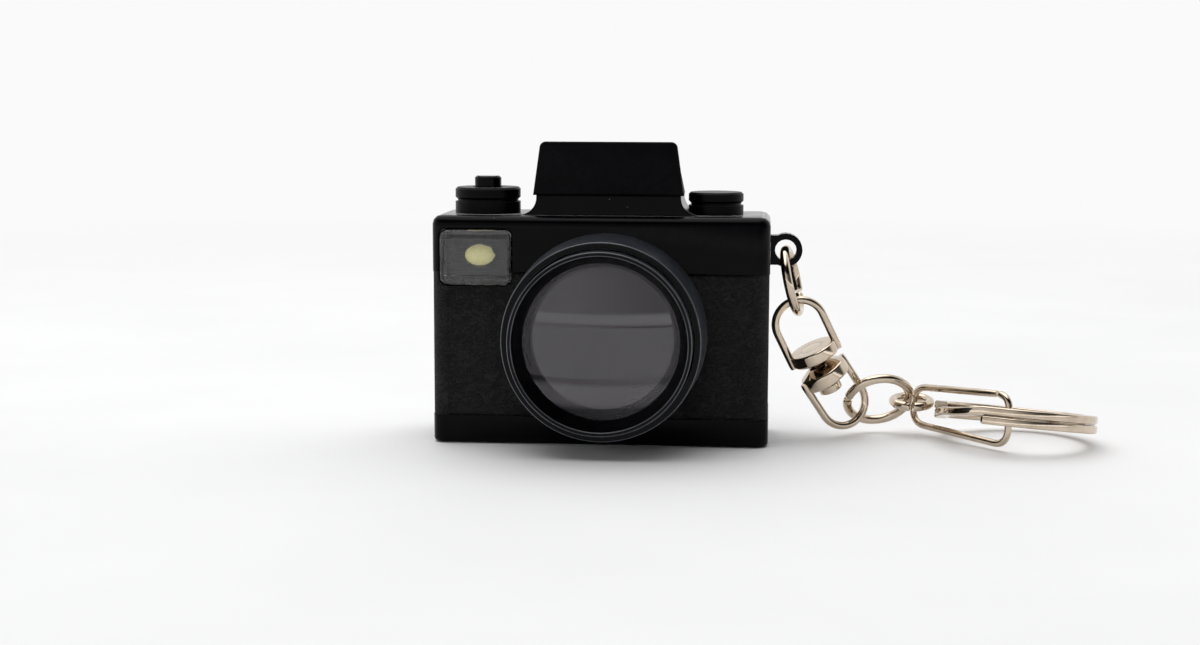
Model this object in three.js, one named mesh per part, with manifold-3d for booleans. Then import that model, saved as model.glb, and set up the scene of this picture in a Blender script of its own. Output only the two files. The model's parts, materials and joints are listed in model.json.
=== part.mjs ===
// Miniature camera on a key chain: a black moulded single-lens-reflex camera with a flash light,
// and a plated chain of jump rings, a swivel, a tapered wire link and a split key ring.
// Millimetres, +Z up. The lens looks along -Y, the chain leaves on +X,
// and the origin is the middle of the camera's flat base.

import * as THREE from 'three';
import { mergeVertices } from 'three/addons/utils/BufferGeometryUtils.js';
import Module from 'manifold-3d';

// Camera body
const BODY_WIDTH = 42;
const BODY_DEPTH = 14.5;
const PLATE_HEIGHT = 3.5;
const BAND_HEIGHT = 18;
const COVER_HEIGHT = 7;
const BODY_CORNER = 1.6;
const EDGE_ROUND = 0.5;
const COVER_ROUND = 1.1;
const BAND_INSET = 0.1;
const WALL = 1.4;
const PLATE_FLOOR = 2.2;
const LIP_WALL = 0.9;
const LIP_HEIGHT = 1;
const SKIN = 0.3;

// Clearances
const FIT = 0.2;
const RUNNING = 0.25;
const LINK_SLACK = 0.36;

// Prism hump
const PRISM_X = 0.9;
const SHOULDER_WIDTH = 12;
const NECK_DEPTH = 9.6;
const NECK_HEIGHT = 2.5;
const NECK_FILLET = 2.2;
const CAP_OVERHANG = 0.4;
const CAP_LEAN = 0.8;
const CAP_DEPTH = 10.6;
const CAP_HEIGHT = 6.65;
const CAP_BACK_FOOT = 0.35;
const CAP_BACK_TOP = 0.75;
const CAP_BACK_FALL = 0.6;
const CAP_CORNER = 0.8;
const CAP_BEVEL = 0.35;

// Eyepiece on the back of the prism
const EYEPIECE_WIDTH = 10;
const EYEPIECE_HEIGHT = 5;
const EYEPIECE_DEPTH = 1.1;
const EYEPIECE_BORDER = 1.1;
const EYEPIECE_LAP = 0.5;
const EYEPIECE_CORNER = 0.8;
const EYEPIECE_RISE = 3.1;
const EYEPIECE_PANE_DEPTH = 0.9;

// Lens
const LENS_X = 0.9;
const LENS_Z = 14;
const BARREL_RADIUS = 12.05;
const BARREL_LENGTH = 8.25;
const BARREL_RIM = 0.8;
const BARREL_SHOULDER = 1.95;
const BARREL_FLANGE = 3.45;
const BARREL_STEP = 0.25;
const BARREL_FLARE = 0.45;
const TRIM_PROUD = 2.05;
const TRIM_SEAT = 2.5;
const TRIM_WALL = 0.95;
const TRIM_BEVEL = 1.55;
const GLASS_EDGE = 1.2;
const GLASS_SAG = 1.7;
const STOP_WIDTH = 1.2;
const CUP_WALL = 1;

// Flash
const FLASH_INSET = 5.58;
const FLASH_Z = 23.35;
const FLASH_WIDTH = 8.85;
const FLASH_HEIGHT = 6.8;
const FLASH_CORNER = 0.9;
const FLASH_PROUD = 0.25;
const FLASH_PANE_DEPTH = 1;
const REFLECTOR_DEPTH = 2.7;
const REFLECTOR_WALL = 0.5;
const REFLECTOR_RIDGES = 6;
const RIDGE_DEPTH = 0.45;
const LED_RIGHT = 0.2;
const LED_RISE = 0.1;
const LED_WIDTH = 3.7;
const LED_HEIGHT = 2.6;
const LED_DEPTH = 2.1;

// Dials and shutter button
const DIAL_INSET = 6.15;
const DIAL_RADIUS = 4.15;
const DIAL_BASE = 1.45;
const DIAL_GROOVE = 0.3;
const DIAL_CAP = 1.5;
const KNOB_INSET = 6.9;
const KNOB_RADIUS = 3.45;
const KNOB_BASE = 1.17;
const KNOB_GROOVE = 0.3;
const KNOB_CAP = 1.33;
const GROOVE_DEPTH = 0.3;
const DIAL_EDGE = 0.25;
const BUTTON_RADIUS = 1.7;
const BUTTON_PROUD = 1.4;
const BUTTON_TRAVEL = 0.6;
const BUTTON_FLANGE = 2.6;
const BUTTON_FLANGE_HEIGHT = 0.8;
const STEM_RADIUS = 1;

// Electronics
const BOARD_MARGIN = 1.85;
const BOARD_DEPTH = 9;
const BOARD_THICKNESS = 0.8;
const BOARD_DROP = 4;
const LEDGE = 1.6;
const SWITCH_SIZE = 4.4;
const SWITCH_HEIGHT = 2.6;
const PLUNGER_RADIUS = 0.9;
const PLUNGER_PROUD = 1.1;
const CHIP_LEFT = 6;
const CHIP_RADIUS = 2.4;
const CHIP_HEIGHT = 1;
const BUZZER_INSET = 8.65;
const BUZZER_RADIUS = 4;
const BUZZER_HEIGHT = 1.8;

// Battery bay
const CELL_RADIUS = 3.95;
const CELL_HEIGHT = 3.6;
const CELL_COUNT = 3;
const CELL_RIM = 0.35;
const CELL_LIFT = 1.3;
const BAY_WALL = 1;
const CONTACT = 0.4;
const CONTACT_WIDTH = 5;
const DOOR_WIDTH = 14;
const DOOR_DROP = 0.1;
const DOOR_TAB = 3.5;
const DOOR_THICKNESS = 1.2;
const DOOR_CORNER = 1;
const DOOR_FOOT = 1;

// Screws
const SCREW_INSET = 4.6;
const SCREW_HEAD = 1.3;
const SCREW_HEAD_HEIGHT = 0.8;
const SCREW_SINK = 0.35;
const SCREW_SHANK = 0.75;
const CASE_SCREW_LENGTH = 6;
const DOOR_SCREW_LENGTH = 2.6;
const BOSS_HALF = 1.5;
const BOSS_HEIGHT = 6;

// Strap lug
const LUG_REACH = 1.9;
const LUG_Z = 24.1;
const LUG_RADIUS = 2.1;
const LUG_BORE = 1.35;
const LUG_THICKNESS = 2;
const LUG_ROOT_LOW = 1.85;
const LUG_HEAD = 1;
const LUG_HEAD_HALF = 1.2;
const LUG_HEAD_DEPTH = 4.4;

// Chain wires
const JUMP_RADIUS = 4;
const JUMP_WIRE = 0.58;
const JUMP_CUT = 0.45;
const LUG_RING_CUT_DEGREES = 60;
const JOINING_CUT_DEGREES = 215;
const SMALL_CUT_DEGREES = 270;
const SMALL_RADIUS = 2.3;
const SMALL_WIRE = 0.6;
const STIRRUP_RADIUS = 3.1;
const STIRRUP_WIRE = 0.5;
const STIRRUP_REACH = 5.1;
const STIRRUP_DISC = 3.1;
const STIRRUP_FLOOR = 1.6;
const STIRRUP_DOME = 0.9;
const SWIVEL_GAP = 1.6;
const RIVET_RADIUS = 0.75;
const RIVET_HEAD = 1.4;
const RIVET_HEAD_HEIGHT = 0.6;
const RIVET_TAIL = 1.5;
const RIVET_TAIL_HEIGHT = 0.9;
const RIVET_BORE = 0.55;
const RIVET_PLAY = 0.55;
const LINK_LENGTH = 16;
const LINK_NARROW = 4.7;
const LINK_WIDE = 6.3;
const LINK_BEND = 2.1;
const LINK_WIRE = 0.45;
const LINK_CUT = 0.45;
const KEY_RADIUS = 9.2;
const KEY_STRIP_WIDTH = 1.7;
const KEY_STRIP_HEIGHT = 0.85;
const KEY_STRIP_EDGE = 0.22;
const KEY_COIL_GAP = 0.5;
const KEY_JOG_DEGREES = 62;
const KEY_JOG_START_DEGREES = 188;
const KEY_JOG_EASE = 0.6;
const KEY_PASS = 4.9;

// Facets
const LENS_SEGMENTS = 40;
const DIAL_SEGMENTS = 28;
const SMALL_SEGMENTS = 16;
const WIRE_SIDES = 8;
const RING_STEPS = 30;
const SMALL_RING_STEPS = 24;
const STIRRUP_STEPS = 26;
const LINK_STEPS = 42;
const KEY_STEPS = 66;
const CORNER_STEPS = 4;
const ROUND_STEPS = 3;
const OVERRUN = 1;

// Levels and faces worked out from the sizes above
const BAND_Z = PLATE_HEIGHT;
const COVER_Z = BAND_Z + BAND_HEIGHT;
const TOP_Z = COVER_Z + COVER_HEIGHT;
const CAP_Z = TOP_Z + NECK_HEIGHT;
const FRONT_Y = -BODY_DEPTH / 2;
const BAND_WIDTH = BODY_WIDTH - 2 * BAND_INSET;
const BAND_DEPTH = BODY_DEPTH - 2 * BAND_INSET;
const BAND_FRONT_Y = -BAND_DEPTH / 2;
const BAND_INNER_WIDTH = BAND_WIDTH - 2 * WALL;
const BAND_INNER_DEPTH = BAND_DEPTH - 2 * WALL;
const COVER_CEILING_Z = TOP_Z - WALL;
const NECK_HALF = BODY_WIDTH / 2 - SHOULDER_WIDTH;
const CAP_FOOT_HALF = NECK_HALF + CAP_OVERHANG;
const CAP_TOP_HALF = CAP_FOOT_HALF - CAP_LEAN;
const TRIM_RADIUS = BARREL_RADIUS - BARREL_RIM - FIT;
const TRIM_LIP = TRIM_RADIUS - TRIM_BEVEL;
const GLASS_RADIUS = TRIM_RADIUS - TRIM_WALL - FIT;
const BARREL_BORE = TRIM_RADIUS + FIT - BARREL_SHOULDER;
const STOP_RADIUS = BARREL_BORE - FIT - STOP_WIDTH;
const SPIGOT_RADIUS = BARREL_RADIUS - BARREL_FLANGE;
const FLASH_X = FLASH_INSET - BODY_WIDTH / 2;
const DIAL_X = DIAL_INSET - BODY_WIDTH / 2;
const KNOB_X = BODY_WIDTH / 2 - KNOB_INSET;
const SCREW_X = BODY_WIDTH / 2 - SCREW_INSET;
const BOARD_WIDTH = BAND_INNER_WIDTH - 2 * BOARD_MARGIN;
const BUZZER_X = BOARD_WIDTH / 2 - BUZZER_INSET;
const BARREL_FRONT_Y = FRONT_Y - BARREL_LENGTH;
const TRIM_FRONT_Y = BARREL_FRONT_Y - TRIM_PROUD;
const TRIM_BACK_Y = BARREL_FRONT_Y + TRIM_SEAT;
const GLASS_EDGE_Y = TRIM_BACK_Y - GLASS_EDGE;
const FLASH_FRONT_Y = FRONT_Y - FLASH_PROUD;
const REFLECTOR_FRONT_Y = FLASH_FRONT_Y + FLASH_PANE_DEPTH;
const REFLECTOR_BACK_Y = REFLECTOR_FRONT_Y + REFLECTOR_DEPTH;
const BOARD_Z = COVER_Z - BOARD_DROP;
const BOARD_TOP_Z = BOARD_Z + BOARD_THICKNESS;
const DIAL_CAP_Z = TOP_Z + DIAL_BASE + DIAL_GROOVE;
const DIAL_TOP_Z = DIAL_CAP_Z + DIAL_CAP;
const KNOB_CAP_Z = TOP_Z + KNOB_BASE + KNOB_GROOVE;
const BUTTON_BORE = BUTTON_RADIUS + RUNNING;
const PLUNGER_TOP_Z = BOARD_TOP_Z + SWITCH_HEIGHT + PLUNGER_PROUD;
const CELL_Z = BAND_Z + LIP_HEIGHT + CELL_LIFT + CELL_RADIUS;
const CELL_STACK = CELL_COUNT * CELL_HEIGHT;
const CELL_Y = BAND_INNER_DEPTH / 2 - CELL_RADIUS - FIT;
const BAY_HALF = CELL_STACK / 2 + RUNNING + CONTACT;
const LUG_X = BODY_WIDTH / 2 + LUG_REACH;

const wasm = await Module();
wasm.setup();

// Welds a geometry to bare shared vertices and drops triangles that have collapsed.
function welded(geometry) {
  const bare = geometry.clone();
  bare.deleteAttribute('normal');
  bare.deleteAttribute('uv');
  const merged = mergeVertices(bare, 1e-4);
  const kept = [];
  for (let i = 0; i < merged.index.count; i += 3) {
    const corners = [0, 1, 2].map((k) => merged.index.getX(i + k));
    if (new Set(corners).size === 3) kept.push(...corners);
  }
  merged.setIndex(kept);
  return merged;
}

function solid(geometry) {
  const merged = welded(geometry);
  return new wasm.Manifold(new wasm.Mesh({
    numProp: 3,
    vertProperties: new Float32Array(merged.attributes.position.array),
    triVerts: new Uint32Array(merged.index.array),
  }));
}

function geometryOf(manifold) {
  const mesh = manifold.getMesh();
  const geometry = new THREE.BufferGeometry();
  geometry.setAttribute('position', new THREE.BufferAttribute(new Float32Array(mesh.vertProperties), 3));
  geometry.setIndex(Array.from(mesh.triVerts));
  return geometry;
}

// Adds and cuts geometries, in order, from a first one.
function carve(first, { add = [], cut = [] }) {
  let body = solid(first);
  for (const piece of add) body = body.add(solid(piece));
  for (const piece of cut) body = body.subtract(solid(piece));
  return geometryOf(body);
}

function roundedRect(width, height, radius, x = 0, y = 0) {
  const [left, right] = [x - width / 2, x + width / 2];
  const [low, high] = [y - height / 2, y + height / 2];
  const shape = new THREE.Shape();
  shape.moveTo(left + radius, low);
  shape.lineTo(right - radius, low);
  shape.absarc(right - radius, low + radius, radius, -Math.PI / 2, 0);
  shape.lineTo(right, high - radius);
  shape.absarc(right - radius, high - radius, radius, 0, Math.PI / 2);
  shape.lineTo(left + radius, high);
  shape.absarc(left + radius, high - radius, radius, Math.PI / 2, Math.PI);
  shape.lineTo(left, low + radius);
  shape.absarc(left + radius, low + radius, radius, Math.PI, 1.5 * Math.PI);
  return shape;
}

function rectangle(left, low, right, high) {
  const corners = [[left, low], [right, low], [right, high], [left, high]];
  return new THREE.Shape(corners.map(([x, y]) => new THREE.Vector2(x, y)));
}

function polygon(radius, sides, x = 0, y = 0) {
  const points = [];
  for (let i = 0; i < sides; i += 1) {
    const angle = (2 * Math.PI * i) / sides;
    points.push(new THREE.Vector2(x + radius * Math.cos(angle), y + radius * Math.sin(angle)));
  }
  return points;
}

function extruded(shape, depth) {
  return new THREE.ExtrudeGeometry(shape, { depth, bevelEnabled: false, curveSegments: CORNER_STEPS });
}

// A shape drawn in X and Y, standing between two heights.
function upright(shape, low, high) {
  return extruded(shape, high - low).translate(0, 0, low);
}

// A shape drawn in X and Z, running back between two depths.
function facing(shape, front, back) {
  return extruded(shape, back - front).rotateX(Math.PI / 2).translate(0, back, 0);
}

// A shape drawn in Y and Z, running across between two sides.
function sideways(shape, left, right) {
  const turn = new THREE.Matrix4().makeBasis(
    new THREE.Vector3(0, 1, 0),
    new THREE.Vector3(0, 0, 1),
    new THREE.Vector3(1, 0, 0),
  );
  return extruded(shape, right - left).applyMatrix4(turn).translate(left, 0, 0);
}

function box(left, right, front, back, low, high) {
  return new THREE.BoxGeometry(right - left, back - front, high - low)
    .translate((left + right) / 2, (front + back) / 2, (low + high) / 2);
}

// A profile of [radius, height] points turned about an upright axis. A ring's profile closes on itself.
function turned(profile, segments, x = 0, y = 0) {
  const points = profile.map(([radius, height]) => new THREE.Vector2(radius, height));
  if (profile[0][0] > 0) points.push(points[0].clone());
  return new THREE.LatheGeometry(points, segments).rotateX(Math.PI / 2).translate(x, y, 0);
}

// A profile of [radius, y] points turned about an axis along Y through the point (x, z).
function turnedAlongY(profile, segments, x, z) {
  const points = profile.map(([radius, depth]) => new THREE.Vector2(radius, depth));
  if (profile[0][0] > 0) points.push(points[0].clone());
  return new THREE.LatheGeometry(points, segments).translate(x, 0, z);
}

// A plate with rounded upright corners whose edges are rounded at one end.
function easedBlock(width, depth, corner, low, high, round, easedEnd) {
  const geometry = new THREE.ExtrudeGeometry(roundedRect(width, depth, corner), {
    depth: high - low,
    bevelThickness: round,
    bevelSize: round,
    bevelOffset: -round,
    bevelSegments: ROUND_STEPS,
    curveSegments: CORNER_STEPS,
  });
  const atTop = easedEnd === 'top';
  geometry.translate(0, 0, atTop ? low - round : low + round);
  const [from, to] = atTop ? [low - 2 * round - OVERRUN, low] : [high, high + 2 * round + OVERRUN];
  return carve(geometry, { cut: [box(-width, width, -depth, depth, from, to)] });
}

const camera = new THREE.Group();
const chain = new THREE.Group();

function addPiece(group, name, geometry, [color, roughness, metalness]) {
  const clean = welded(geometry);
  clean.computeVertexNormals();
  const mesh = new THREE.Mesh(clean, new THREE.MeshStandardMaterial({ color, roughness, metalness }));
  mesh.name = name;
  group.add(mesh);
  return mesh;
}

const GLOSS_BLACK = [0x17181b, 0.3, 0];
const LEATHERETTE = [0x2a2928, 0.8, 0];
const SATIN_BLACK = [0x141416, 0.45, 0];
const DARK_INSIDE = [0x08080a, 0.25, 0];
const CLEAR = [0xe9eef2, 0.05, 0];
const SILVERED = [0xb9babd, 0.3, 0.9];
const PHOSPHOR = [0xd8c93a, 0.4, 0];
const BOARD_GREEN = [0x2f6b3c, 0.6, 0];
const NICKEL = [0xcfc4b4, 0.2, 1];
const STEEL = [0xa9abad, 0.35, 1];
const BRASS = [0xb89a4e, 0.35, 1];

// Base plate: eased lower edge, a pocket, a locating lip and two sunk screw holes
function basePlate() {
  const lipWidth = BAND_INNER_WIDTH - 2 * FIT;
  const lipDepth = BAND_INNER_DEPTH - 2 * FIT;
  const pocketWidth = lipWidth - 2 * LIP_WALL;
  const pocketDepth = lipDepth - 2 * LIP_WALL;
  const lipTop = BAND_Z + LIP_HEIGHT;
  const cut = [upright(rectangle(-pocketWidth / 2, -pocketDepth / 2, pocketWidth / 2, pocketDepth / 2),
    PLATE_FLOOR, lipTop + OVERRUN)];
  for (const x of [-SCREW_X, SCREW_X]) {
    cut.push(turned([[0, -OVERRUN], [SCREW_HEAD + FIT, -OVERRUN],
      [SCREW_HEAD + FIT, SCREW_SINK + SCREW_HEAD_HEIGHT], [SCREW_SHANK + FIT, SCREW_SINK + SCREW_HEAD_HEIGHT],
      [SCREW_SHANK + FIT, lipTop], [0, lipTop]], SMALL_SEGMENTS, x));
  }
  return carve(easedBlock(BODY_WIDTH, BODY_DEPTH, BODY_CORNER, 0, PLATE_HEIGHT, EDGE_ROUND, 'bottom'), {
    add: [upright(rectangle(-lipWidth / 2, -lipDepth / 2, lipWidth / 2, lipDepth / 2), PLATE_FLOOR, lipTop)],
    cut,
  });
}

// Outline of the flash, grown for the opening cut through the cover's and the band's front walls
function flashShape(grow) {
  return roundedRect(FLASH_WIDTH + 2 * grow, FLASH_HEIGHT + 2 * grow, FLASH_CORNER + grow, FLASH_X, FLASH_Z);
}

function flashOpening() {
  return facing(flashShape(FIT), FLASH_FRONT_Y - OVERRUN, REFLECTOR_BACK_Y + RUNNING);
}

// Round opening for the barrel's spigot
function lensOpening() {
  const [front, back] = [FRONT_Y - OVERRUN, BAND_FRONT_Y + 2 * WALL];
  const radius = SPIGOT_RADIUS + FIT;
  const profile = [[0, front], [radius, front], [radius, back], [0, back]];
  return turnedAlongY(profile, LENS_SEGMENTS, LENS_X, LENS_Z);
}

// Battery bay: two end walls and a floor between the front and rear walls
function bayRibs() {
  const wall = BAND_INNER_DEPTH / 2 + WALL / 2;
  const bayTop = CELL_Z + CELL_RADIUS;
  const floor = CELL_Z - CELL_RADIUS;
  const low = BAND_Z + LIP_HEIGHT + FIT;
  const shapes = [
    [-BAY_HALF - BAY_WALL, -BAY_HALF, low, bayTop],
    [BAY_HALF, BAY_HALF + BAY_WALL, low, bayTop],
    [-BAY_HALF - BAY_WALL, BAY_HALF + BAY_WALL, low, floor],
  ];
  return shapes.map(([left, right, from, to]) => box(left, right, -wall, wall, from, to));
}

// Door seat: a through hole behind the cells, and a shallower ledge for the screwed tab above it
const DOOR_LOW_Z = BAND_Z + DOOR_FOOT;
const DOOR_HIGH_Z = BOARD_Z - DOOR_DROP;
const DOOR_HEIGHT = DOOR_HIGH_Z - DOOR_LOW_Z;
const DOOR_SCREW_Z = DOOR_HIGH_Z - DOOR_TAB / 2;
const DOOR_BACK_Y = BAND_DEPTH / 2;
const DOOR_SEAT_Y = DOOR_BACK_Y - DOOR_THICKNESS;

function doorShape(grow) {
  const middle = (DOOR_LOW_Z + DOOR_HIGH_Z) / 2;
  return roundedRect(DOOR_WIDTH + 2 * grow, DOOR_HEIGHT + 2 * grow, DOOR_CORNER + grow, 0, middle);
}

// Middle band: a rectangular tube with the lens hole, flash notch, battery bay, board ledges and screw bosses
function band() {
  const tube = roundedRect(BAND_WIDTH, BAND_DEPTH, BODY_CORNER - BAND_INSET);
  const [halfWidth, halfDepth] = [BAND_INNER_WIDTH / 2, BAND_INNER_DEPTH / 2];
  tube.holes.push(rectangle(-halfWidth, -halfDepth, halfWidth, halfDepth));
  const wall = BAND_INNER_DEPTH / 2 + WALL / 2;
  const sideWall = BAND_INNER_WIDTH / 2 + WALL / 2;
  const bossLow = BAND_Z + LIP_HEIGHT + FIT;
  const add = bayRibs();
  const cut = [];
  for (const side of [-1, 1]) {
    const x = side * SCREW_X;
    add.push(box(x - BOSS_HALF, x + BOSS_HALF, -wall, wall, bossLow, bossLow + BOSS_HEIGHT));
    cut.push(upright(new THREE.Shape(polygon(SCREW_SHANK + FIT, SMALL_SEGMENTS, x)), BAND_Z,
      bossLow + BOSS_HEIGHT - FIT));
    const inner = BAND_INNER_WIDTH / 2 - LEDGE;
    add.push(box(Math.min(side * inner, side * sideWall), Math.max(side * inner, side * sideWall),
      -BOARD_DEPTH / 2, BOARD_DEPTH / 2, BOARD_Z - LEDGE, BOARD_Z));
  }
  const tabBoss = box(-DOOR_WIDTH / 4, DOOR_WIDTH / 4, DOOR_SEAT_Y - DOOR_SCREW_LENGTH, wall,
    DOOR_HIGH_Z - DOOR_TAB, DOOR_HIGH_Z);
  add.push(tabBoss);
  const skinHalf = BAND_WIDTH / 2 - BODY_CORNER;
  cut.push(
    box(-skinHalf - FIT, skinHalf + FIT, BAND_FRONT_Y - OVERRUN, BAND_FRONT_Y + SKIN, 0, TOP_Z),
    box(-skinHalf - FIT, skinHalf + FIT, -BAND_FRONT_Y - SKIN, -BAND_FRONT_Y + OVERRUN, 0, TOP_Z),
    lensOpening(),
    flashOpening(),
    facing(doorShape(FIT), DOOR_SEAT_Y, DOOR_BACK_Y + OVERRUN),
    box(-BAY_HALF, BAY_HALF, CELL_Y, DOOR_BACK_Y, DOOR_LOW_Z + DOOR_FOOT, DOOR_HIGH_Z - DOOR_TAB),
    facing(new THREE.Shape(polygon(SCREW_SHANK + FIT, SMALL_SEGMENTS, 0, DOOR_SCREW_Z)),
      DOOR_SEAT_Y - DOOR_SCREW_LENGTH + FIT, DOOR_BACK_Y),
  );
  return carve(upright(tube, BAND_Z, COVER_Z), { add, cut });
}

// Leatherette panels with the cut-outs they are stamped with
function skinShape() {
  const half = BAND_WIDTH / 2 - BODY_CORNER;
  return rectangle(-half, BAND_Z + FIT, half, COVER_Z - FIT);
}

function frontSkin() {
  return carve(facing(skinShape(), BAND_FRONT_Y, BAND_FRONT_Y + SKIN), {
    cut: [lensOpening(), flashOpening()],
  });
}

function rearSkin() {
  return carve(facing(skinShape(), -BAND_FRONT_Y - SKIN, -BAND_FRONT_Y), {
    cut: [facing(doorShape(FIT), 0, BODY_DEPTH)],
  });
}

// Neck of the prism hump, with concave sides that run out onto the shoulders
function neckShape() {
  const shape = new THREE.Shape();
  const foot = NECK_HALF + NECK_FILLET;
  shape.moveTo(PRISM_X - foot, TOP_Z - WALL / 2);
  shape.lineTo(PRISM_X + foot, TOP_Z - WALL / 2);
  shape.lineTo(PRISM_X + foot, TOP_Z);
  shape.absarc(PRISM_X + foot, TOP_Z + NECK_FILLET, NECK_FILLET, 1.5 * Math.PI, Math.PI, true);
  shape.lineTo(PRISM_X + NECK_HALF, CAP_Z);
  shape.lineTo(PRISM_X - NECK_HALF, CAP_Z);
  shape.lineTo(PRISM_X - NECK_HALF, TOP_Z + NECK_FILLET);
  shape.absarc(PRISM_X - foot, TOP_Z + NECK_FILLET, NECK_FILLET, 0, -Math.PI / 2, true);
  return shape;
}

// Top cover: eased upper edge, hollow below, with the prism neck and the seats of dials, flash and lug
function topCover() {
  const innerWidth = BODY_WIDTH - 2 * WALL;
  const innerDepth = BODY_DEPTH - 2 * WALL;
  const lipWidth = BAND_INNER_WIDTH - 2 * FIT;
  const lipDepth = BAND_INNER_DEPTH - 2 * FIT;
  const hollow = (width, depth, low, high) =>
    box(-width / 2, width / 2, -depth / 2, depth / 2, low, high);
  const seat = (x, radius) =>
    upright(new THREE.Shape(polygon(radius + RUNNING, DIAL_SEGMENTS, x)), TOP_Z, DIAL_TOP_Z);
  const neckHole = box(PRISM_X - NECK_HALF + WALL, PRISM_X + NECK_HALF - WALL, -NECK_DEPTH / 2 + WALL,
    NECK_DEPTH / 2 - WALL, COVER_CEILING_Z - OVERRUN, CAP_Z + OVERRUN);
  const lugSlot = box(0, LUG_X, -LUG_THICKNESS / 2 - FIT, LUG_THICKNESS / 2 + FIT,
    LUG_Z - LUG_ROOT_LOW - FIT, LUG_Z + LUG_ROOT_LOW + FIT);
  const buttonHole = upright(new THREE.Shape(polygon(BUTTON_BORE, SMALL_SEGMENTS, DIAL_X)),
    COVER_CEILING_Z - OVERRUN, TOP_Z + OVERRUN);
  const lip = carve(hollow(lipWidth, lipDepth, COVER_Z - LIP_HEIGHT, COVER_CEILING_Z), {});
  return carve(easedBlock(BODY_WIDTH, BODY_DEPTH, BODY_CORNER, COVER_Z, TOP_Z, COVER_ROUND, 'top'), {
    add: [lip, facing(neckShape(), -NECK_DEPTH / 2, NECK_DEPTH / 2)],
    cut: [
      hollow(innerWidth, innerDepth, COVER_Z + LIP_WALL, COVER_CEILING_Z),
      hollow(lipWidth - 2 * LIP_WALL, lipDepth - 2 * LIP_WALL, COVER_Z - LIP_HEIGHT - OVERRUN,
        COVER_CEILING_Z),
      neckHole, lugSlot, buttonHole, flashOpening(), lensOpening(),
      seat(DIAL_X, DIAL_RADIUS), seat(KNOB_X, KNOB_RADIUS),
    ],
  });
}

// Prism cap: a tapered hood, overhanging its neck, hollow below, with the eyepiece opening in its back
const EYEPIECE_Z = CAP_Z + EYEPIECE_RISE;
const CAP_BACK_Y = CAP_DEPTH / 2;

function capShape(inset, foot) {
  const shape = new THREE.Shape();
  const top = CAP_Z + CAP_HEIGHT - inset;
  const [low, high] = [CAP_FOOT_HALF - inset, CAP_TOP_HALF - inset];
  const radius = CAP_CORNER;
  shape.moveTo(PRISM_X - low, foot);
  shape.lineTo(PRISM_X + low, foot);
  shape.lineTo(PRISM_X + high, top - radius);
  shape.absarc(PRISM_X + high - radius, top - radius, radius, 0, Math.PI / 2);
  shape.lineTo(PRISM_X - high + radius, top);
  shape.absarc(PRISM_X - high + radius, top - radius, radius, Math.PI / 2, Math.PI);
  return shape;
}

// Draws the cap's sides in and its top down toward the back
function narrowed(geometry) {
  return geometryOf(solid(geometry).warp((point) => {
    const back = point[1] / CAP_DEPTH + 0.5;
    const rise = (point[2] - CAP_Z) / CAP_HEIGHT;
    const half = CAP_FOOT_HALF - CAP_LEAN * rise;
    const drawIn = back * (CAP_BACK_FOOT + (CAP_BACK_TOP - CAP_BACK_FOOT) * rise);
    point[0] = PRISM_X + (point[0] - PRISM_X) * (1 - drawIn / half);
    point[2] -= back * rise * CAP_BACK_FALL;
  }));
}

function prismCap() {
  const outer = new THREE.ExtrudeGeometry(capShape(0, CAP_Z), {
    depth: CAP_DEPTH - 2 * CAP_BEVEL,
    bevelThickness: CAP_BEVEL,
    bevelSize: CAP_BEVEL,
    bevelOffset: -CAP_BEVEL,
    bevelSegments: 2,
    curveSegments: CORNER_STEPS,
  }).rotateX(Math.PI / 2).translate(0, CAP_DEPTH / 2 - CAP_BEVEL, 0);
  const inner = facing(capShape(WALL, CAP_Z - OVERRUN), -CAP_DEPTH / 2 + WALL, CAP_DEPTH / 2 - WALL);
  const opening = facing(eyepieceShape(EYEPIECE_BORDER - EYEPIECE_LAP - FIT), 0, CAP_DEPTH);
  return carve(narrowed(carve(outer, { cut: [inner] })), { cut: [opening] });
}

function eyepieceShape(inset) {
  const [width, height] = [EYEPIECE_WIDTH - 2 * inset, EYEPIECE_HEIGHT - 2 * inset];
  return roundedRect(width, height, EYEPIECE_CORNER, PRISM_X, EYEPIECE_Z);
}

function eyepieceFrame() {
  const frame = eyepieceShape(0);
  frame.holes.push(eyepieceShape(EYEPIECE_BORDER));
  return facing(frame, CAP_BACK_Y, CAP_BACK_Y + EYEPIECE_DEPTH);
}

function eyepiecePane() {
  return facing(eyepieceShape(EYEPIECE_BORDER - EYEPIECE_LAP), CAP_BACK_Y - EYEPIECE_PANE_DEPTH, CAP_BACK_Y);
}

// Lens barrel: a stepped sleeve with a spigot through the band's front wall
function lensBarrel() {
  const bore = TRIM_RADIUS + FIT;
  const shoulder = TRIM_BACK_Y + FIT;
  return turnedAlongY([
    [BARREL_BORE, shoulder],
    [bore, shoulder],
    [bore, BARREL_FRONT_Y],
    [BARREL_RADIUS - BARREL_STEP, BARREL_FRONT_Y],
    [BARREL_RADIUS, BARREL_FRONT_Y + BARREL_STEP],
    [BARREL_RADIUS + BARREL_FLARE, FRONT_Y],
    [SPIGOT_RADIUS, FRONT_Y],
    [SPIGOT_RADIUS, BAND_FRONT_Y + WALL],
    [SPIGOT_RADIUS - CUP_WALL, BAND_FRONT_Y + WALL],
    [SPIGOT_RADIUS - CUP_WALL, FRONT_Y - CUP_WALL],
    [BARREL_BORE, FRONT_Y - CUP_WALL],
  ], LENS_SEGMENTS, LENS_X, LENS_Z);
}

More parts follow.
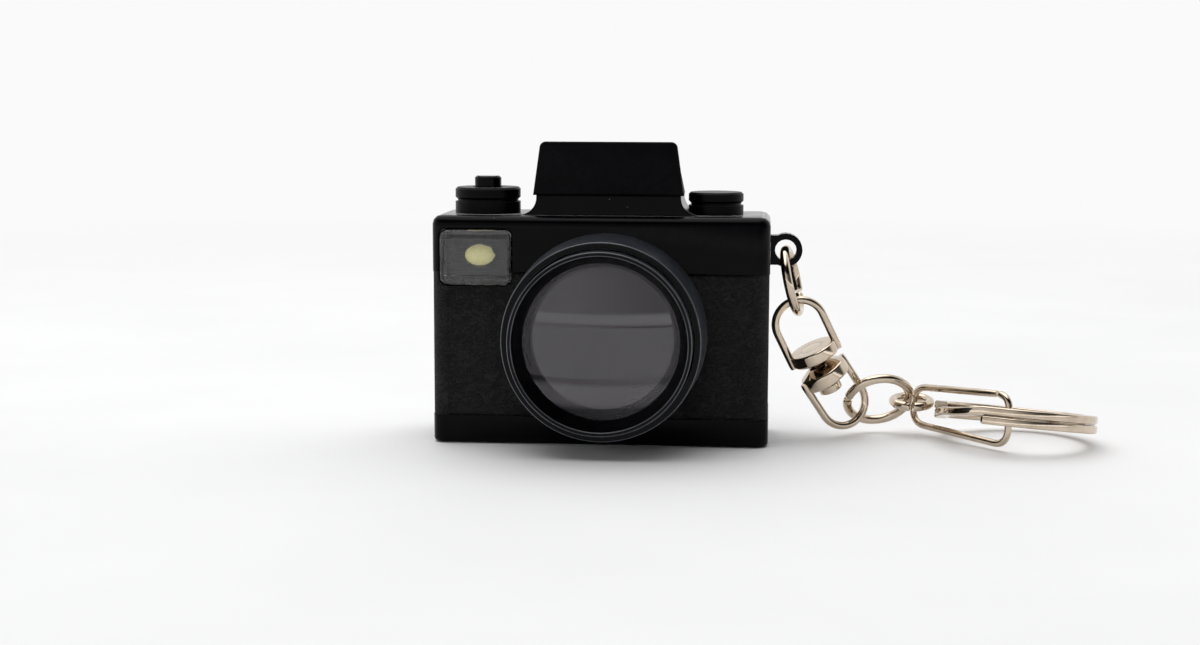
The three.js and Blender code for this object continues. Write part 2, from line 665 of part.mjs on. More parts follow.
// Trim ring: stands proud of the barrel and holds the glass under its lip
function lensTrim() {
  const seat = GLASS_RADIUS + FIT;
  const lipBack = GLASS_EDGE_Y - FIT;
  return turnedAlongY([
    [seat, TRIM_BACK_Y],
    [TRIM_RADIUS, TRIM_BACK_Y],
    [TRIM_RADIUS, TRIM_FRONT_Y + BARREL_STEP],
    [TRIM_RADIUS - BARREL_STEP, TRIM_FRONT_Y],
    [TRIM_RADIUS - 2 * BARREL_STEP, TRIM_FRONT_Y],
    [TRIM_LIP, lipBack - GLASS_EDGE / 2],
    [TRIM_LIP, lipBack],
    [seat, lipBack],
  ].reverse(), LENS_SEGMENTS, LENS_X, LENS_Z);
}

// Glass: plano-convex, its front a spherical cap
function lensGlass() {
  const sphere = (GLASS_RADIUS ** 2 + GLASS_SAG ** 2) / (2 * GLASS_SAG);
  const rise = (radius) => Math.sqrt(sphere ** 2 - radius ** 2) - (sphere - GLASS_SAG);
  const profile = [[0, TRIM_BACK_Y], [GLASS_RADIUS, TRIM_BACK_Y], [GLASS_RADIUS, GLASS_EDGE_Y]];
  for (const share of [0.85, 0.65, 0.4]) {
    profile.push([GLASS_RADIUS * share, GLASS_EDGE_Y - rise(GLASS_RADIUS * share)]);
  }
  profile.push([0, GLASS_EDGE_Y - GLASS_SAG]);
  return turnedAlongY(profile.reverse(), LENS_SEGMENTS, LENS_X, LENS_Z);
}

// Dark cup behind the glass, with a stop ring at its mouth
function lensCup() {
  const outer = BARREL_BORE - FIT;
  const back = FRONT_Y - CUP_WALL - FIT;
  const mouth = TRIM_BACK_Y + FIT;
  return turnedAlongY([
    [0, back - CUP_WALL],
    [outer - CUP_WALL, back - CUP_WALL],
    [outer - CUP_WALL, mouth + CUP_WALL],
    [STOP_RADIUS, mouth + CUP_WALL / 2],
    [STOP_RADIUS, mouth],
    [outer, mouth],
    [outer, back],
    [0, back],
  ], LENS_SEGMENTS, LENS_X, LENS_Z);
}

// Flash: clear pane, silvered tray with level ridges, and the light in its middle
function flashPane() {
  return facing(flashShape(0), FLASH_FRONT_Y, REFLECTOR_FRONT_Y);
}

function ledShape(grow) {
  const shape = new THREE.Shape();
  const [x, z] = [FLASH_X + LED_RIGHT, FLASH_Z + LED_RISE];
  shape.absellipse(x, z, LED_WIDTH / 2 + grow, LED_HEIGHT / 2 + grow, 0, 2 * Math.PI);
  return shape;
}

function flashReflector() {
  const inset = 2 * REFLECTOR_WALL;
  const pitch = (FLASH_HEIGHT - inset) / REFLECTOR_RIDGES;
  const low = FLASH_Z - FLASH_HEIGHT / 2 + REFLECTOR_WALL;
  const floorY = REFLECTOR_BACK_Y - 2 * REFLECTOR_WALL;
  const teeth = [new THREE.Vector2(REFLECTOR_FRONT_Y - OVERRUN, low), new THREE.Vector2(floorY, low)];
  for (let i = 0; i < REFLECTOR_RIDGES; i += 1) {
    teeth.push(new THREE.Vector2(floorY - RIDGE_DEPTH, low + pitch * (i + 0.5)));
    teeth.push(new THREE.Vector2(floorY, low + pitch * (i + 1)));
  }
  teeth.push(new THREE.Vector2(REFLECTOR_FRONT_Y - OVERRUN, low + pitch * REFLECTOR_RIDGES));
  const half = FLASH_WIDTH / 2 - REFLECTOR_WALL;
  return carve(facing(flashShape(0), REFLECTOR_FRONT_Y, REFLECTOR_BACK_Y), {
    cut: [
      sideways(new THREE.Shape(teeth), FLASH_X - half, FLASH_X + half),
      facing(ledShape(FIT), REFLECTOR_FRONT_Y, REFLECTOR_BACK_Y + OVERRUN),
    ],
  });
}

function led() {
  return facing(ledShape(0), REFLECTOR_BACK_Y + RUNNING - LED_DEPTH, REFLECTOR_BACK_Y + RUNNING);
}

// A plain drum with a narrower groove above it, and the cap that sits on the groove
function dialBase(x, radius, height, groove, bore) {
  const profile = [
    [bore, TOP_Z],
    [radius, TOP_Z],
    [radius, TOP_Z + height],
    [radius - GROOVE_DEPTH, TOP_Z + height],
    [radius - GROOVE_DEPTH, TOP_Z + height + groove],
    [bore, TOP_Z + height + groove],
  ];
  return turned(profile, DIAL_SEGMENTS, x);
}

function dialCap(x, radius, low, height, bore) {
  const top = low + height;
  const profile = [
    [bore, low],
    [radius - DIAL_EDGE, low],
    [radius, low + DIAL_EDGE],
    [radius, top - DIAL_EDGE],
    [radius - DIAL_EDGE, top],
    [bore, top],
  ];
  return turned(profile, DIAL_SEGMENTS, x);
}

// Shutter button: nub, shaft, flange held under the cover, and the stem that meets the switch
function shutterButton() {
  const top = DIAL_TOP_Z + BUTTON_PROUD;
  const flangeTop = COVER_CEILING_Z - RUNNING;
  const flangeLow = flangeTop - BUTTON_FLANGE_HEIGHT;
  return turned([
    [0, PLUNGER_TOP_Z],
    [STEM_RADIUS, PLUNGER_TOP_Z],
    [STEM_RADIUS, flangeLow],
    [BUTTON_FLANGE, flangeLow],
    [BUTTON_FLANGE, flangeTop],
    [BUTTON_RADIUS, flangeTop],
    [BUTTON_RADIUS, top - DIAL_EDGE],
    [BUTTON_RADIUS - DIAL_EDGE, top],
    [0, top],
  ], SMALL_SEGMENTS, DIAL_X);
}

// Circuit board with its parts
function circuitBoard() {
  return box(-BOARD_WIDTH / 2, BOARD_WIDTH / 2, -BOARD_DEPTH / 2, BOARD_DEPTH / 2, BOARD_Z, BOARD_TOP_Z);
}

function switchBody() {
  const top = BOARD_TOP_Z + SWITCH_HEIGHT;
  const half = SWITCH_SIZE / 2;
  const well = top - BUTTON_TRAVEL - 2 * RUNNING - PLUNGER_PROUD / 2;
  const hole = new THREE.Shape(polygon(PLUNGER_RADIUS + FIT, SMALL_SEGMENTS, DIAL_X));
  return carve(box(DIAL_X - half, DIAL_X + half, -half, half, BOARD_TOP_Z, top), {
    cut: [upright(hole, well, top + OVERRUN)],
  });
}

function switchPlunger() {
  const low = BOARD_TOP_Z + SWITCH_HEIGHT - PLUNGER_PROUD / 2;
  return turned([[0, low], [PLUNGER_RADIUS, low], [PLUNGER_RADIUS, PLUNGER_TOP_Z], [0, PLUNGER_TOP_Z]],
    SMALL_SEGMENTS, DIAL_X);
}

function soundChip() {
  const profile = [[0, BOARD_TOP_Z], [CHIP_RADIUS, BOARD_TOP_Z]];
  for (const share of [0.85, 0.55]) {
    profile.push([CHIP_RADIUS * share, BOARD_TOP_Z + CHIP_HEIGHT * Math.sqrt(1 - share ** 2)]);
  }
  profile.push([0, BOARD_TOP_Z + CHIP_HEIGHT]);
  return turned(profile, SMALL_SEGMENTS, -CHIP_LEFT);
}

function buzzer() {
  const top = BOARD_TOP_Z + BUZZER_HEIGHT;
  return turned([[0, BOARD_TOP_Z], [BUZZER_RADIUS, BOARD_TOP_Z], [BUZZER_RADIUS, top], [STEM_RADIUS, top],
    [STEM_RADIUS, top - BUZZER_HEIGHT / 2], [0, top - BUZZER_HEIGHT / 2]], DIAL_SEGMENTS, BUZZER_X);
}

// Button cells stacked along X, with a stepped rim, and the spring plates at the ends of the stack
function cell(index) {
  const left = -CELL_STACK / 2 + index * CELL_HEIGHT;
  const profile = [
    [0, left],
    [CELL_RADIUS - CELL_RIM, left],
    [CELL_RADIUS, left + CELL_RIM],
    [CELL_RADIUS, left + CELL_HEIGHT - CELL_RIM],
    [CELL_RADIUS - 2 * CELL_RIM, left + CELL_HEIGHT],
    [0, left + CELL_HEIGHT],
  ];
  const points = profile.map(([radius, along]) => new THREE.Vector2(radius, along));
  return new THREE.LatheGeometry(points, DIAL_SEGMENTS).rotateZ(-Math.PI / 2).translate(0, CELL_Y, CELL_Z);
}

function contact(side) {
  const near = side * (BAY_HALF - CONTACT);
  const far = side * BAY_HALF;
  return box(Math.min(near, far), Math.max(near, far), CELL_Y - CONTACT_WIDTH / 2, CELL_Y + CONTACT_WIDTH / 2,
    CELL_Z - CELL_RADIUS, CELL_Z + CELL_RADIUS);
}

function batteryDoor() {
  const recess = turnedAlongY([[0, DOOR_BACK_Y - SCREW_SINK - SCREW_HEAD_HEIGHT + FIT],
    [SCREW_HEAD + FIT, DOOR_BACK_Y - SCREW_SINK - SCREW_HEAD_HEIGHT + FIT],
    [SCREW_HEAD + FIT, DOOR_BACK_Y + OVERRUN], [0, DOOR_BACK_Y + OVERRUN]], SMALL_SEGMENTS, 0, DOOR_SCREW_Z);
  const hole = turnedAlongY([[0, DOOR_SEAT_Y - OVERRUN], [SCREW_SHANK + FIT, DOOR_SEAT_Y - OVERRUN],
    [SCREW_SHANK + FIT, DOOR_BACK_Y + OVERRUN], [0, DOOR_BACK_Y + OVERRUN]], SMALL_SEGMENTS, 0, DOOR_SCREW_Z);
  return carve(facing(doorShape(0), DOOR_SEAT_Y, DOOR_BACK_Y), { cut: [recess, hole] });
}

// A pan-head screw profile from its head face along its length
function screwProfile(length) {
  return [
    [0, 0],
    [SCREW_HEAD - DIAL_EDGE, 0],
    [SCREW_HEAD, DIAL_EDGE],
    [SCREW_HEAD, SCREW_HEAD_HEIGHT],
    [SCREW_SHANK, SCREW_HEAD_HEIGHT],
    [SCREW_SHANK, SCREW_HEAD_HEIGHT + length],
    [0, SCREW_HEAD_HEIGHT + length],
  ];
}

function caseScrew(x) {
  return turned(screwProfile(CASE_SCREW_LENGTH), SMALL_SEGMENTS, x).translate(0, 0, SCREW_SINK);
}

function doorScrew() {
  const profile = screwProfile(DOOR_SCREW_LENGTH - FIT)
    .map(([radius, along]) => new THREE.Vector2(radius, along));
  return new THREE.LatheGeometry(profile, SMALL_SEGMENTS).rotateZ(Math.PI)
    .translate(0, DOOR_BACK_Y - SCREW_SINK + FIT, DOOR_SCREW_Z);
}

// Strap lug: a round-ended eye through the cover's side, with a head that holds it inside
function strapLug() {
  const wallInner = BODY_WIDTH / 2 - WALL;
  const rootX = wallInner - FIT - LUG_HEAD;
  const eye = new THREE.Shape();
  const lean = Math.asin(LUG_ROOT_LOW / LUG_RADIUS);
  eye.moveTo(wallInner, LUG_Z - LUG_ROOT_LOW);
  eye.lineTo(LUG_X - LUG_RADIUS * Math.cos(lean), LUG_Z - LUG_ROOT_LOW);
  eye.absarc(LUG_X, LUG_Z, LUG_RADIUS, Math.PI + lean, 3 * Math.PI - lean);
  eye.lineTo(wallInner, LUG_Z + LUG_ROOT_LOW);
  eye.holes.push(new THREE.Path(polygon(LUG_BORE, SMALL_SEGMENTS, LUG_X, LUG_Z)));
  const plate = new THREE.ExtrudeGeometry(eye, {
    depth: LUG_THICKNESS,
    bevelEnabled: false,
    curveSegments: 2 * CORNER_STEPS,
  }).rotateX(Math.PI / 2).translate(0, LUG_THICKNESS / 2, 0);
  const neck = box(rootX, wallInner + FIT, -LUG_THICKNESS / 2, LUG_THICKNESS / 2,
    LUG_Z - LUG_HEAD_HALF, LUG_Z + LUG_HEAD_HALF);
  const head = box(rootX, rootX + LUG_HEAD, -LUG_HEAD_DEPTH / 2, LUG_HEAD_DEPTH / 2,
    LUG_Z - LUG_HEAD_HALF, LUG_Z + LUG_HEAD_HALF);
  return carve(plate, { add: [neck, head] });
}

addPiece(camera, 'base_plate', basePlate(), GLOSS_BLACK);
addPiece(camera, 'body_band', band(), SATIN_BLACK);
addPiece(camera, 'front_leatherette', frontSkin(), LEATHERETTE);
addPiece(camera, 'rear_leatherette', rearSkin(), LEATHERETTE);
addPiece(camera, 'top_cover', topCover(), GLOSS_BLACK);
addPiece(camera, 'prism_cap', prismCap(), SATIN_BLACK);
addPiece(camera, 'eyepiece_frame', eyepieceFrame(), SATIN_BLACK);
addPiece(camera, 'eyepiece_pane', eyepiecePane(), CLEAR);
addPiece(camera, 'lens_barrel', lensBarrel(), GLOSS_BLACK);
addPiece(camera, 'lens_trim_ring', lensTrim(), GLOSS_BLACK);
addPiece(camera, 'lens_glass', lensGlass(), CLEAR);
addPiece(camera, 'lens_cup', lensCup(), DARK_INSIDE);
addPiece(camera, 'flash_pane', flashPane(), CLEAR);
addPiece(camera, 'flash_reflector', flashReflector(), SILVERED);
addPiece(camera, 'flash_led', led(), PHOSPHOR);
const dialDrum = dialBase(DIAL_X, DIAL_RADIUS, DIAL_BASE, DIAL_GROOVE, BUTTON_BORE);
addPiece(camera, 'shutter_dial_base', dialDrum, GLOSS_BLACK);
const dialLid = dialCap(DIAL_X, DIAL_RADIUS, DIAL_CAP_Z, DIAL_CAP, BUTTON_BORE);
addPiece(camera, 'shutter_dial_cap', dialLid, GLOSS_BLACK);
addPiece(camera, 'rewind_knob_base', dialBase(KNOB_X, KNOB_RADIUS, KNOB_BASE, KNOB_GROOVE, 0), GLOSS_BLACK);
addPiece(camera, 'rewind_knob_cap', dialCap(KNOB_X, KNOB_RADIUS, KNOB_CAP_Z, KNOB_CAP, 0), GLOSS_BLACK);
addPiece(camera, 'shutter_button', shutterButton(), GLOSS_BLACK);
addPiece(camera, 'circuit_board', circuitBoard(), BOARD_GREEN);
addPiece(camera, 'switch_body', switchBody(), STEEL);
addPiece(camera, 'switch_plunger', switchPlunger(), SATIN_BLACK);
addPiece(camera, 'sound_chip', soundChip(), SATIN_BLACK);
addPiece(camera, 'piezo_buzzer', buzzer(), BRASS);
for (let i = 0; i < CELL_COUNT; i += 1) {
  addPiece(camera, `button_cell_${i + 1}`, cell(i), STEEL);
}
addPiece(camera, 'battery_contact_left', contact(-1), STEEL);
addPiece(camera, 'battery_contact_right', contact(1), STEEL);
addPiece(camera, 'battery_door', batteryDoor(), SATIN_BLACK);
addPiece(camera, 'battery_door_screw', doorScrew(), STEEL);
addPiece(camera, 'case_screw_left', caseScrew(-SCREW_X), STEEL);
addPiece(camera, 'case_screw_right', caseScrew(SCREW_X), STEEL);
addPiece(camera, 'strap_lug', strapLug(), GLOSS_BLACK);

// Chain. Each piece is drawn in its own plane, X along its hang and Y across it, then placed.
class PlanarWire extends THREE.Curve {
  constructor(path) {
    super();
    this.path = path;
  }

  getPoint(t, target = new THREE.Vector3()) {
    const point = this.path.getPoint(t);
    return target.set(point.x, point.y, 0);
  }
}

function wire(path, radius, steps) {
  const section = new THREE.Shape(polygon(radius, WIRE_SIDES));
  const extrudePath = new PlanarWire(path);
  return new THREE.ExtrudeGeometry(section, { steps, bevelEnabled: false, extrudePath });
}

// A jump ring with its cut at an angle from the hang direction
function jumpRing(radius, wireRadius, cutDegrees, steps) {
  const cut = THREE.MathUtils.degToRad(cutDegrees);
  const half = JUMP_CUT / radius / 2;
  const path = new THREE.Path();
  path.absarc(0, 0, radius, cut + half, cut + 2 * Math.PI - half);
  return wire(path, wireRadius, steps);
}

// A swivel stirrup: a wire arch about the origin, whose legs run into a round floor with a rivet hole.
// The hole's mouth may be sunk for the rivet's head, and the floor's outer face domed.
function stirrup(direction, { bore, mouth, sink, dome }) {
  const path = new THREE.Path();
  path.moveTo(direction * STIRRUP_REACH, STIRRUP_RADIUS);
  path.lineTo(0, STIRRUP_RADIUS);
  path.absarc(0, 0, STIRRUP_RADIUS, Math.PI / 2, -Math.PI / 2, direction < 0);
  path.lineTo(direction * STIRRUP_REACH, -STIRRUP_RADIUS);
  const inner = STIRRUP_REACH - STIRRUP_FLOOR;
  const profile = [
    [mouth, inner],
    [STIRRUP_DISC, inner],
    [STIRRUP_DISC, STIRRUP_REACH],
    [STIRRUP_DISC * 0.7, STIRRUP_REACH + dome * 0.7],
    [bore, STIRRUP_REACH + dome],
    [bore, inner + sink],
    [mouth, inner + sink],
  ].map(([radius, along]) => new THREE.Vector2(radius, along));
  profile.push(profile[0].clone());
  const floor = new THREE.LatheGeometry(profile, DIAL_SEGMENTS).rotateZ(-direction * Math.PI / 2);
  return carve(wire(path, STIRRUP_WIRE, STIRRUP_STEPS), { add: [floor] });
}

// Rivet along the upper stirrup's hang: a head sunk in the upper floor, and a hollow tail in the lower arch
function rivet() {
  const headTop = STIRRUP_REACH - STIRRUP_FLOOR;
  const headSeat = headTop + RIVET_HEAD_HEIGHT;
  const tailSeat = STIRRUP_REACH + SWIVEL_GAP + STIRRUP_FLOOR + RIVET_PLAY;
  const tailEnd = tailSeat + RIVET_TAIL_HEIGHT;
  const profile = [
    [0, headTop],
    [RIVET_HEAD, headTop],
    [RIVET_HEAD, headSeat],
    [RIVET_RADIUS, headSeat],
    [RIVET_RADIUS, tailSeat],
    [RIVET_TAIL, tailSeat],
    [RIVET_TAIL, tailEnd - DIAL_EDGE],
    [RIVET_TAIL - DIAL_EDGE, tailEnd],
    [RIVET_BORE, tailEnd],
    [RIVET_BORE, tailSeat],
    [0, tailSeat],
  ].map(([radius, along]) => new THREE.Vector2(radius, along));
  return new THREE.LatheGeometry(profile, SMALL_SEGMENTS).rotateZ(-Math.PI / 2);
}

// Tapered wire link: narrow end at the origin, wide end along X, cut at its wide upper corner
function taperedLink() {
  const corners = [
    new THREE.Vector2(LINK_LENGTH, LINK_WIDE / 2),
    new THREE.Vector2(0, LINK_NARROW / 2),
    new THREE.Vector2(0, -LINK_NARROW / 2),
    new THREE.Vector2(LINK_LENGTH, -LINK_WIDE / 2),
  ];
  const toward = (i, j) =>
    corners[i].clone().addScaledVector(corners[j].clone().sub(corners[i]).normalize(), LINK_BEND);
  const path = new THREE.Path();
  const start = toward(0, 1);
  path.moveTo(start.x, start.y);
  for (const [before, bend, after] of [[0, 1, 2], [1, 2, 3], [2, 3, 0]]) {
    const entry = toward(bend, before);
    const exit = toward(bend, after);
    path.lineTo(entry.x, entry.y);
    path.quadraticCurveTo(corners[bend].x, corners[bend].y, exit.x, exit.y);
  }
  const share = 1 - LINK_CUT / (2 * LINK_BEND);
  const last = toward(0, 3);
  const bendEnd = last.clone().lerp(corners[0], share);
  const end = bendEnd.clone().lerp(corners[0].clone().lerp(start, share), share);
  path.lineTo(last.x, last.y);
  path.quadraticCurveTo(bendEnd.x, bendEnd.y, end.x, end.y);
  return wire(path, LINK_WIRE, LINK_STEPS);
}

// Split key ring: one flat strip wound nearly twice round, stepping from its lower to its upper level
class SplitRing extends THREE.Curve {
  getPoint(t, target = new THREE.Vector3()) {
    const jog = THREE.MathUtils.degToRad(KEY_JOG_DEGREES);
    const level = 2 * Math.PI - jog;
    const sweep = 2 * level + jog;
    const angle = t * sweep;
    const share = THREE.MathUtils.clamp((2 * (angle - level)) / jog - 1, -1, 1);
    const climb = (share * Math.abs(share) ** KEY_JOG_EASE) / 2;
    const turn = THREE.MathUtils.degToRad(KEY_JOG_START_DEGREES) + jog + angle;
    const pitch = KEY_STRIP_HEIGHT + KEY_COIL_GAP;
    return target.set(KEY_RADIUS * Math.cos(turn), KEY_RADIUS * Math.sin(turn), pitch * climb);
  }
}

function stripSection() {
  const [axial, radial] = [KEY_STRIP_HEIGHT / 2, KEY_STRIP_WIDTH / 2];
  const edge = KEY_STRIP_EDGE;
  return new THREE.Shape([
    [axial, radial - edge], [axial - edge, radial], [edge - axial, radial], [-axial, radial - edge],
    [-axial, edge - radial], [edge - axial, -radial], [axial - edge, -radial], [axial, edge - radial],
  ].map(([x, y]) => new THREE.Vector2(x, y)));
}

function splitRing() {
  return new THREE.ExtrudeGeometry(stripSection(), {
    steps: KEY_STEPS,
    bevelEnabled: false,
    extrudePath: new SplitRing(),
  });
}

// Floors of the two stirrups
const UPPER_FLOOR = {
  bore: RIVET_RADIUS + FIT,
  mouth: RIVET_HEAD + FIT,
  sink: RIVET_HEAD_HEIGHT + FIT,
  dome: 0,
};
const LOWER_FLOOR = {
  bore: RIVET_RADIUS + RIVET_PLAY,
  mouth: RIVET_RADIUS + RIVET_PLAY,
  sink: 0,
  dome: STIRRUP_DOME,
};

// Least distance between points of the strip that are more than a third of a turn apart along it
function leastCoilGap(geometry) {
  const position = welded(geometry).attributes.position;
  const points = [];
  for (let i = 0; i < position.count; i += 1) {
    points.push(new THREE.Vector3().fromBufferAttribute(position, i));
  }
  const sides = points.length / (KEY_STEPS + 1);
  let least = Infinity;
  for (let i = 0; i < points.length; i += 1) {
    for (let j = i + 1; j < points.length; j += 1) {
      const apart = Math.abs(Math.floor(i / sides) - Math.floor(j / sides));
      if (apart > KEY_STEPS / 6) least = Math.min(least, points[i].distanceTo(points[j]));
    }
  }
  return least;
}

// Directions in which the chain hangs and lies: along each piece, across it, and how it is drawn off the last
const HANG = {
  lugRing: { along: [0.22, 0, -0.975], across: [0.13, 0.99, 0] },
  upper: { along: [0.43, 0.151, -0.89], across: [0.89, 0.04, 0.44], pull: [0.11, 0.18, -0.97] },
  lower: { along: [0.54, 0.16, -0.825], across: [0.716, 0.336, 0.62] },
  joining: { along: [0.889, -0.149, 0.384], across: [0.399, 0.654, -0.686], pull: [0.749, -0.225, -0.218] },
  small: { along: [0.997, -0.075, -0.021], across: [0.077, 0.99, 0.12], pull: [0.79, 0.36, -0.05] },
  link: { along: [0.659, -0.752, 0.015], across: [0.046, 0.061, 0.997], pull: [0.36, 0.89, -0.56] },
  key: { along: [0.976, -0.217, -0.05], across: [0.208, 0.965, -0.156] },
};
const LOWER_ARCH_TO_JOINING = [0.765, 0.41, 0.224];
const JOINING_TO_SMALL = [0.938, 0.33, -0.114];

const vector = (values) => new THREE.Vector3(...values);

function place(mesh, origin, { along, across }) {
  const x = vector(along).normalize();
  const z = new THREE.Vector3().crossVectors(x, vector(across)).normalize();
  const y = new THREE.Vector3().crossVectors(z, x);
  mesh.quaternion.setFromRotationMatrix(new THREE.Matrix4().makeBasis(x, y, z));
  mesh.position.copy(origin);
  return mesh;
}

function step(origin, direction, distance) {
  return origin.clone().addScaledVector(vector(direction).normalize(), distance);
}

// A looser step: the pull is a share of the play that the two wires leave each other
function drawn(origin, pull, play) {
  return origin.clone().addScaledVector(vector(pull), play);
}

const lugEye = new THREE.Vector3(LUG_X, 0, LUG_Z);
const lugRingCentre = step(lugEye, HANG.lugRing.along, JUMP_RADIUS);
const lugRingEnd = step(lugEye, HANG.lugRing.along, 2 * JUMP_RADIUS);
const upperArch = drawn(lugRingEnd, HANG.upper.pull, STIRRUP_RADIUS - STIRRUP_WIRE - JUMP_WIRE - LINK_SLACK);
const lowerFloor = step(upperArch, HANG.upper.along, STIRRUP_REACH + SWIVEL_GAP);
const lowerArch = step(lowerFloor, HANG.lower.along, STIRRUP_REACH);
const lowerEnd = step(lowerArch, LOWER_ARCH_TO_JOINING, STIRRUP_RADIUS);
const joiningCentre = drawn(lowerEnd, HANG.joining.pull, JUMP_RADIUS - JUMP_WIRE - STIRRUP_WIRE - LINK_SLACK);
const joiningEnd = step(joiningCentre, JOINING_TO_SMALL, JUMP_RADIUS);
const smallCentre = drawn(joiningEnd, HANG.small.pull, SMALL_RADIUS - SMALL_WIRE - JUMP_WIRE - LINK_SLACK);
const linkStart = drawn(smallCentre, HANG.link.pull, SMALL_RADIUS - SMALL_WIRE - LINK_WIRE - LINK_SLACK);
const keyPass = step(linkStart, HANG.link.along, KEY_PASS);
const keyCentre = step(keyPass, HANG.key.along, KEY_RADIUS);

const lugRing = jumpRing(JUMP_RADIUS, JUMP_WIRE, LUG_RING_CUT_DEGREES, RING_STEPS);
place(addPiece(chain, 'lug_ring', lugRing, NICKEL), lugRingCentre, HANG.lugRing);
place(addPiece(chain, 'swivel_upper', stirrup(1, UPPER_FLOOR), NICKEL), upperArch, HANG.upper);
place(addPiece(chain, 'swivel_rivet', rivet(), NICKEL), upperArch, HANG.upper);
place(addPiece(chain, 'swivel_lower', stirrup(-1, LOWER_FLOOR), NICKEL), lowerArch, HANG.lower);
const joiningRing = jumpRing(JUMP_RADIUS, JUMP_WIRE, JOINING_CUT_DEGREES, RING_STEPS);
place(addPiece(chain, 'joining_ring', joiningRing, NICKEL), joiningCentre, HANG.joining);
const smallRing = jumpRing(SMALL_RADIUS, SMALL_WIRE, SMALL_CUT_DEGREES, SMALL_RING_STEPS);
place(addPiece(chain, 'small_ring', smallRing, NICKEL), smallCentre, HANG.small);
place(addPiece(chain, 'tapered_link', taperedLink(), NICKEL), linkStart, HANG.link);
const keyCoil = splitRing();
place(addPiece(chain, 'split_key_ring', keyCoil, NICKEL), keyCentre, HANG.key);
console.log(`split key ring: least gap to itself ${leastCoilGap(keyCoil).toFixed(3)} mm`);

const keychain = new THREE.Group();
keychain.add(camera, chain);

export default keychain;
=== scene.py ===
import json
import math

import bpy
from mathutils import Matrix, Vector

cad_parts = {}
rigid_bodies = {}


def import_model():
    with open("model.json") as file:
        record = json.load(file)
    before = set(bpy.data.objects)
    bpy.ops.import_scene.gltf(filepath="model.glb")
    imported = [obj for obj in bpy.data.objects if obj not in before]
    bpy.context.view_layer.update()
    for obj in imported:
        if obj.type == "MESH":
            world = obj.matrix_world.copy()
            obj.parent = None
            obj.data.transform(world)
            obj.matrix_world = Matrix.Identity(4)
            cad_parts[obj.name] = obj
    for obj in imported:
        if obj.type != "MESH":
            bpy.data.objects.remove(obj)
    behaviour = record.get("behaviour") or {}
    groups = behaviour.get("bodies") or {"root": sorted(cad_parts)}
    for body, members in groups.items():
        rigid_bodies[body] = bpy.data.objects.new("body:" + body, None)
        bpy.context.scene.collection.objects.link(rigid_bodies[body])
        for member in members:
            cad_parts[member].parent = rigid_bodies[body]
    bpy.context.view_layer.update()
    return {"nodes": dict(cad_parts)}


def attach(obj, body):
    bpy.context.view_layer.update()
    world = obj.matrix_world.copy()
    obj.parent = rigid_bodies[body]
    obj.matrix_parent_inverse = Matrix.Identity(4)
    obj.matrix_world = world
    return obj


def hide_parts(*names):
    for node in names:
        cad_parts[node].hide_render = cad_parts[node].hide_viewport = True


for leftover in list(bpy.data.objects):
    bpy.data.objects.remove(leftover)
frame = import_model()
NODES = frame["nodes"]
MM = 0.001

# Sizes that the dressed pieces share with the CAD, in millimetres; a wire is given by its radius
LENS_X, LENS_Z = 0.9, 14.0
FLASH_X, FLASH_Z, FLASH_WIDTH, FLASH_HEIGHT = -15.42, 23.35, 8.85, 6.8
JUMP_RADIUS, JUMP_WIRE = 4.0, 0.58
SMALL_RADIUS, SMALL_WIRE = 2.3, 0.6
ARCH_RADIUS, ARCH_WIRE, ARCH_REACH, SWIVEL_GAP = 3.1, 0.5, 5.1, 1.6
LINK_LENGTH, LINK_NARROW, LINK_WIDE, LINK_BEND, LINK_WIRE = 16.0, 4.7, 6.3, 2.1, 0.45
KEY_RADIUS, KEY_PASS = 9.2, 4.9
SLACK = 0.36


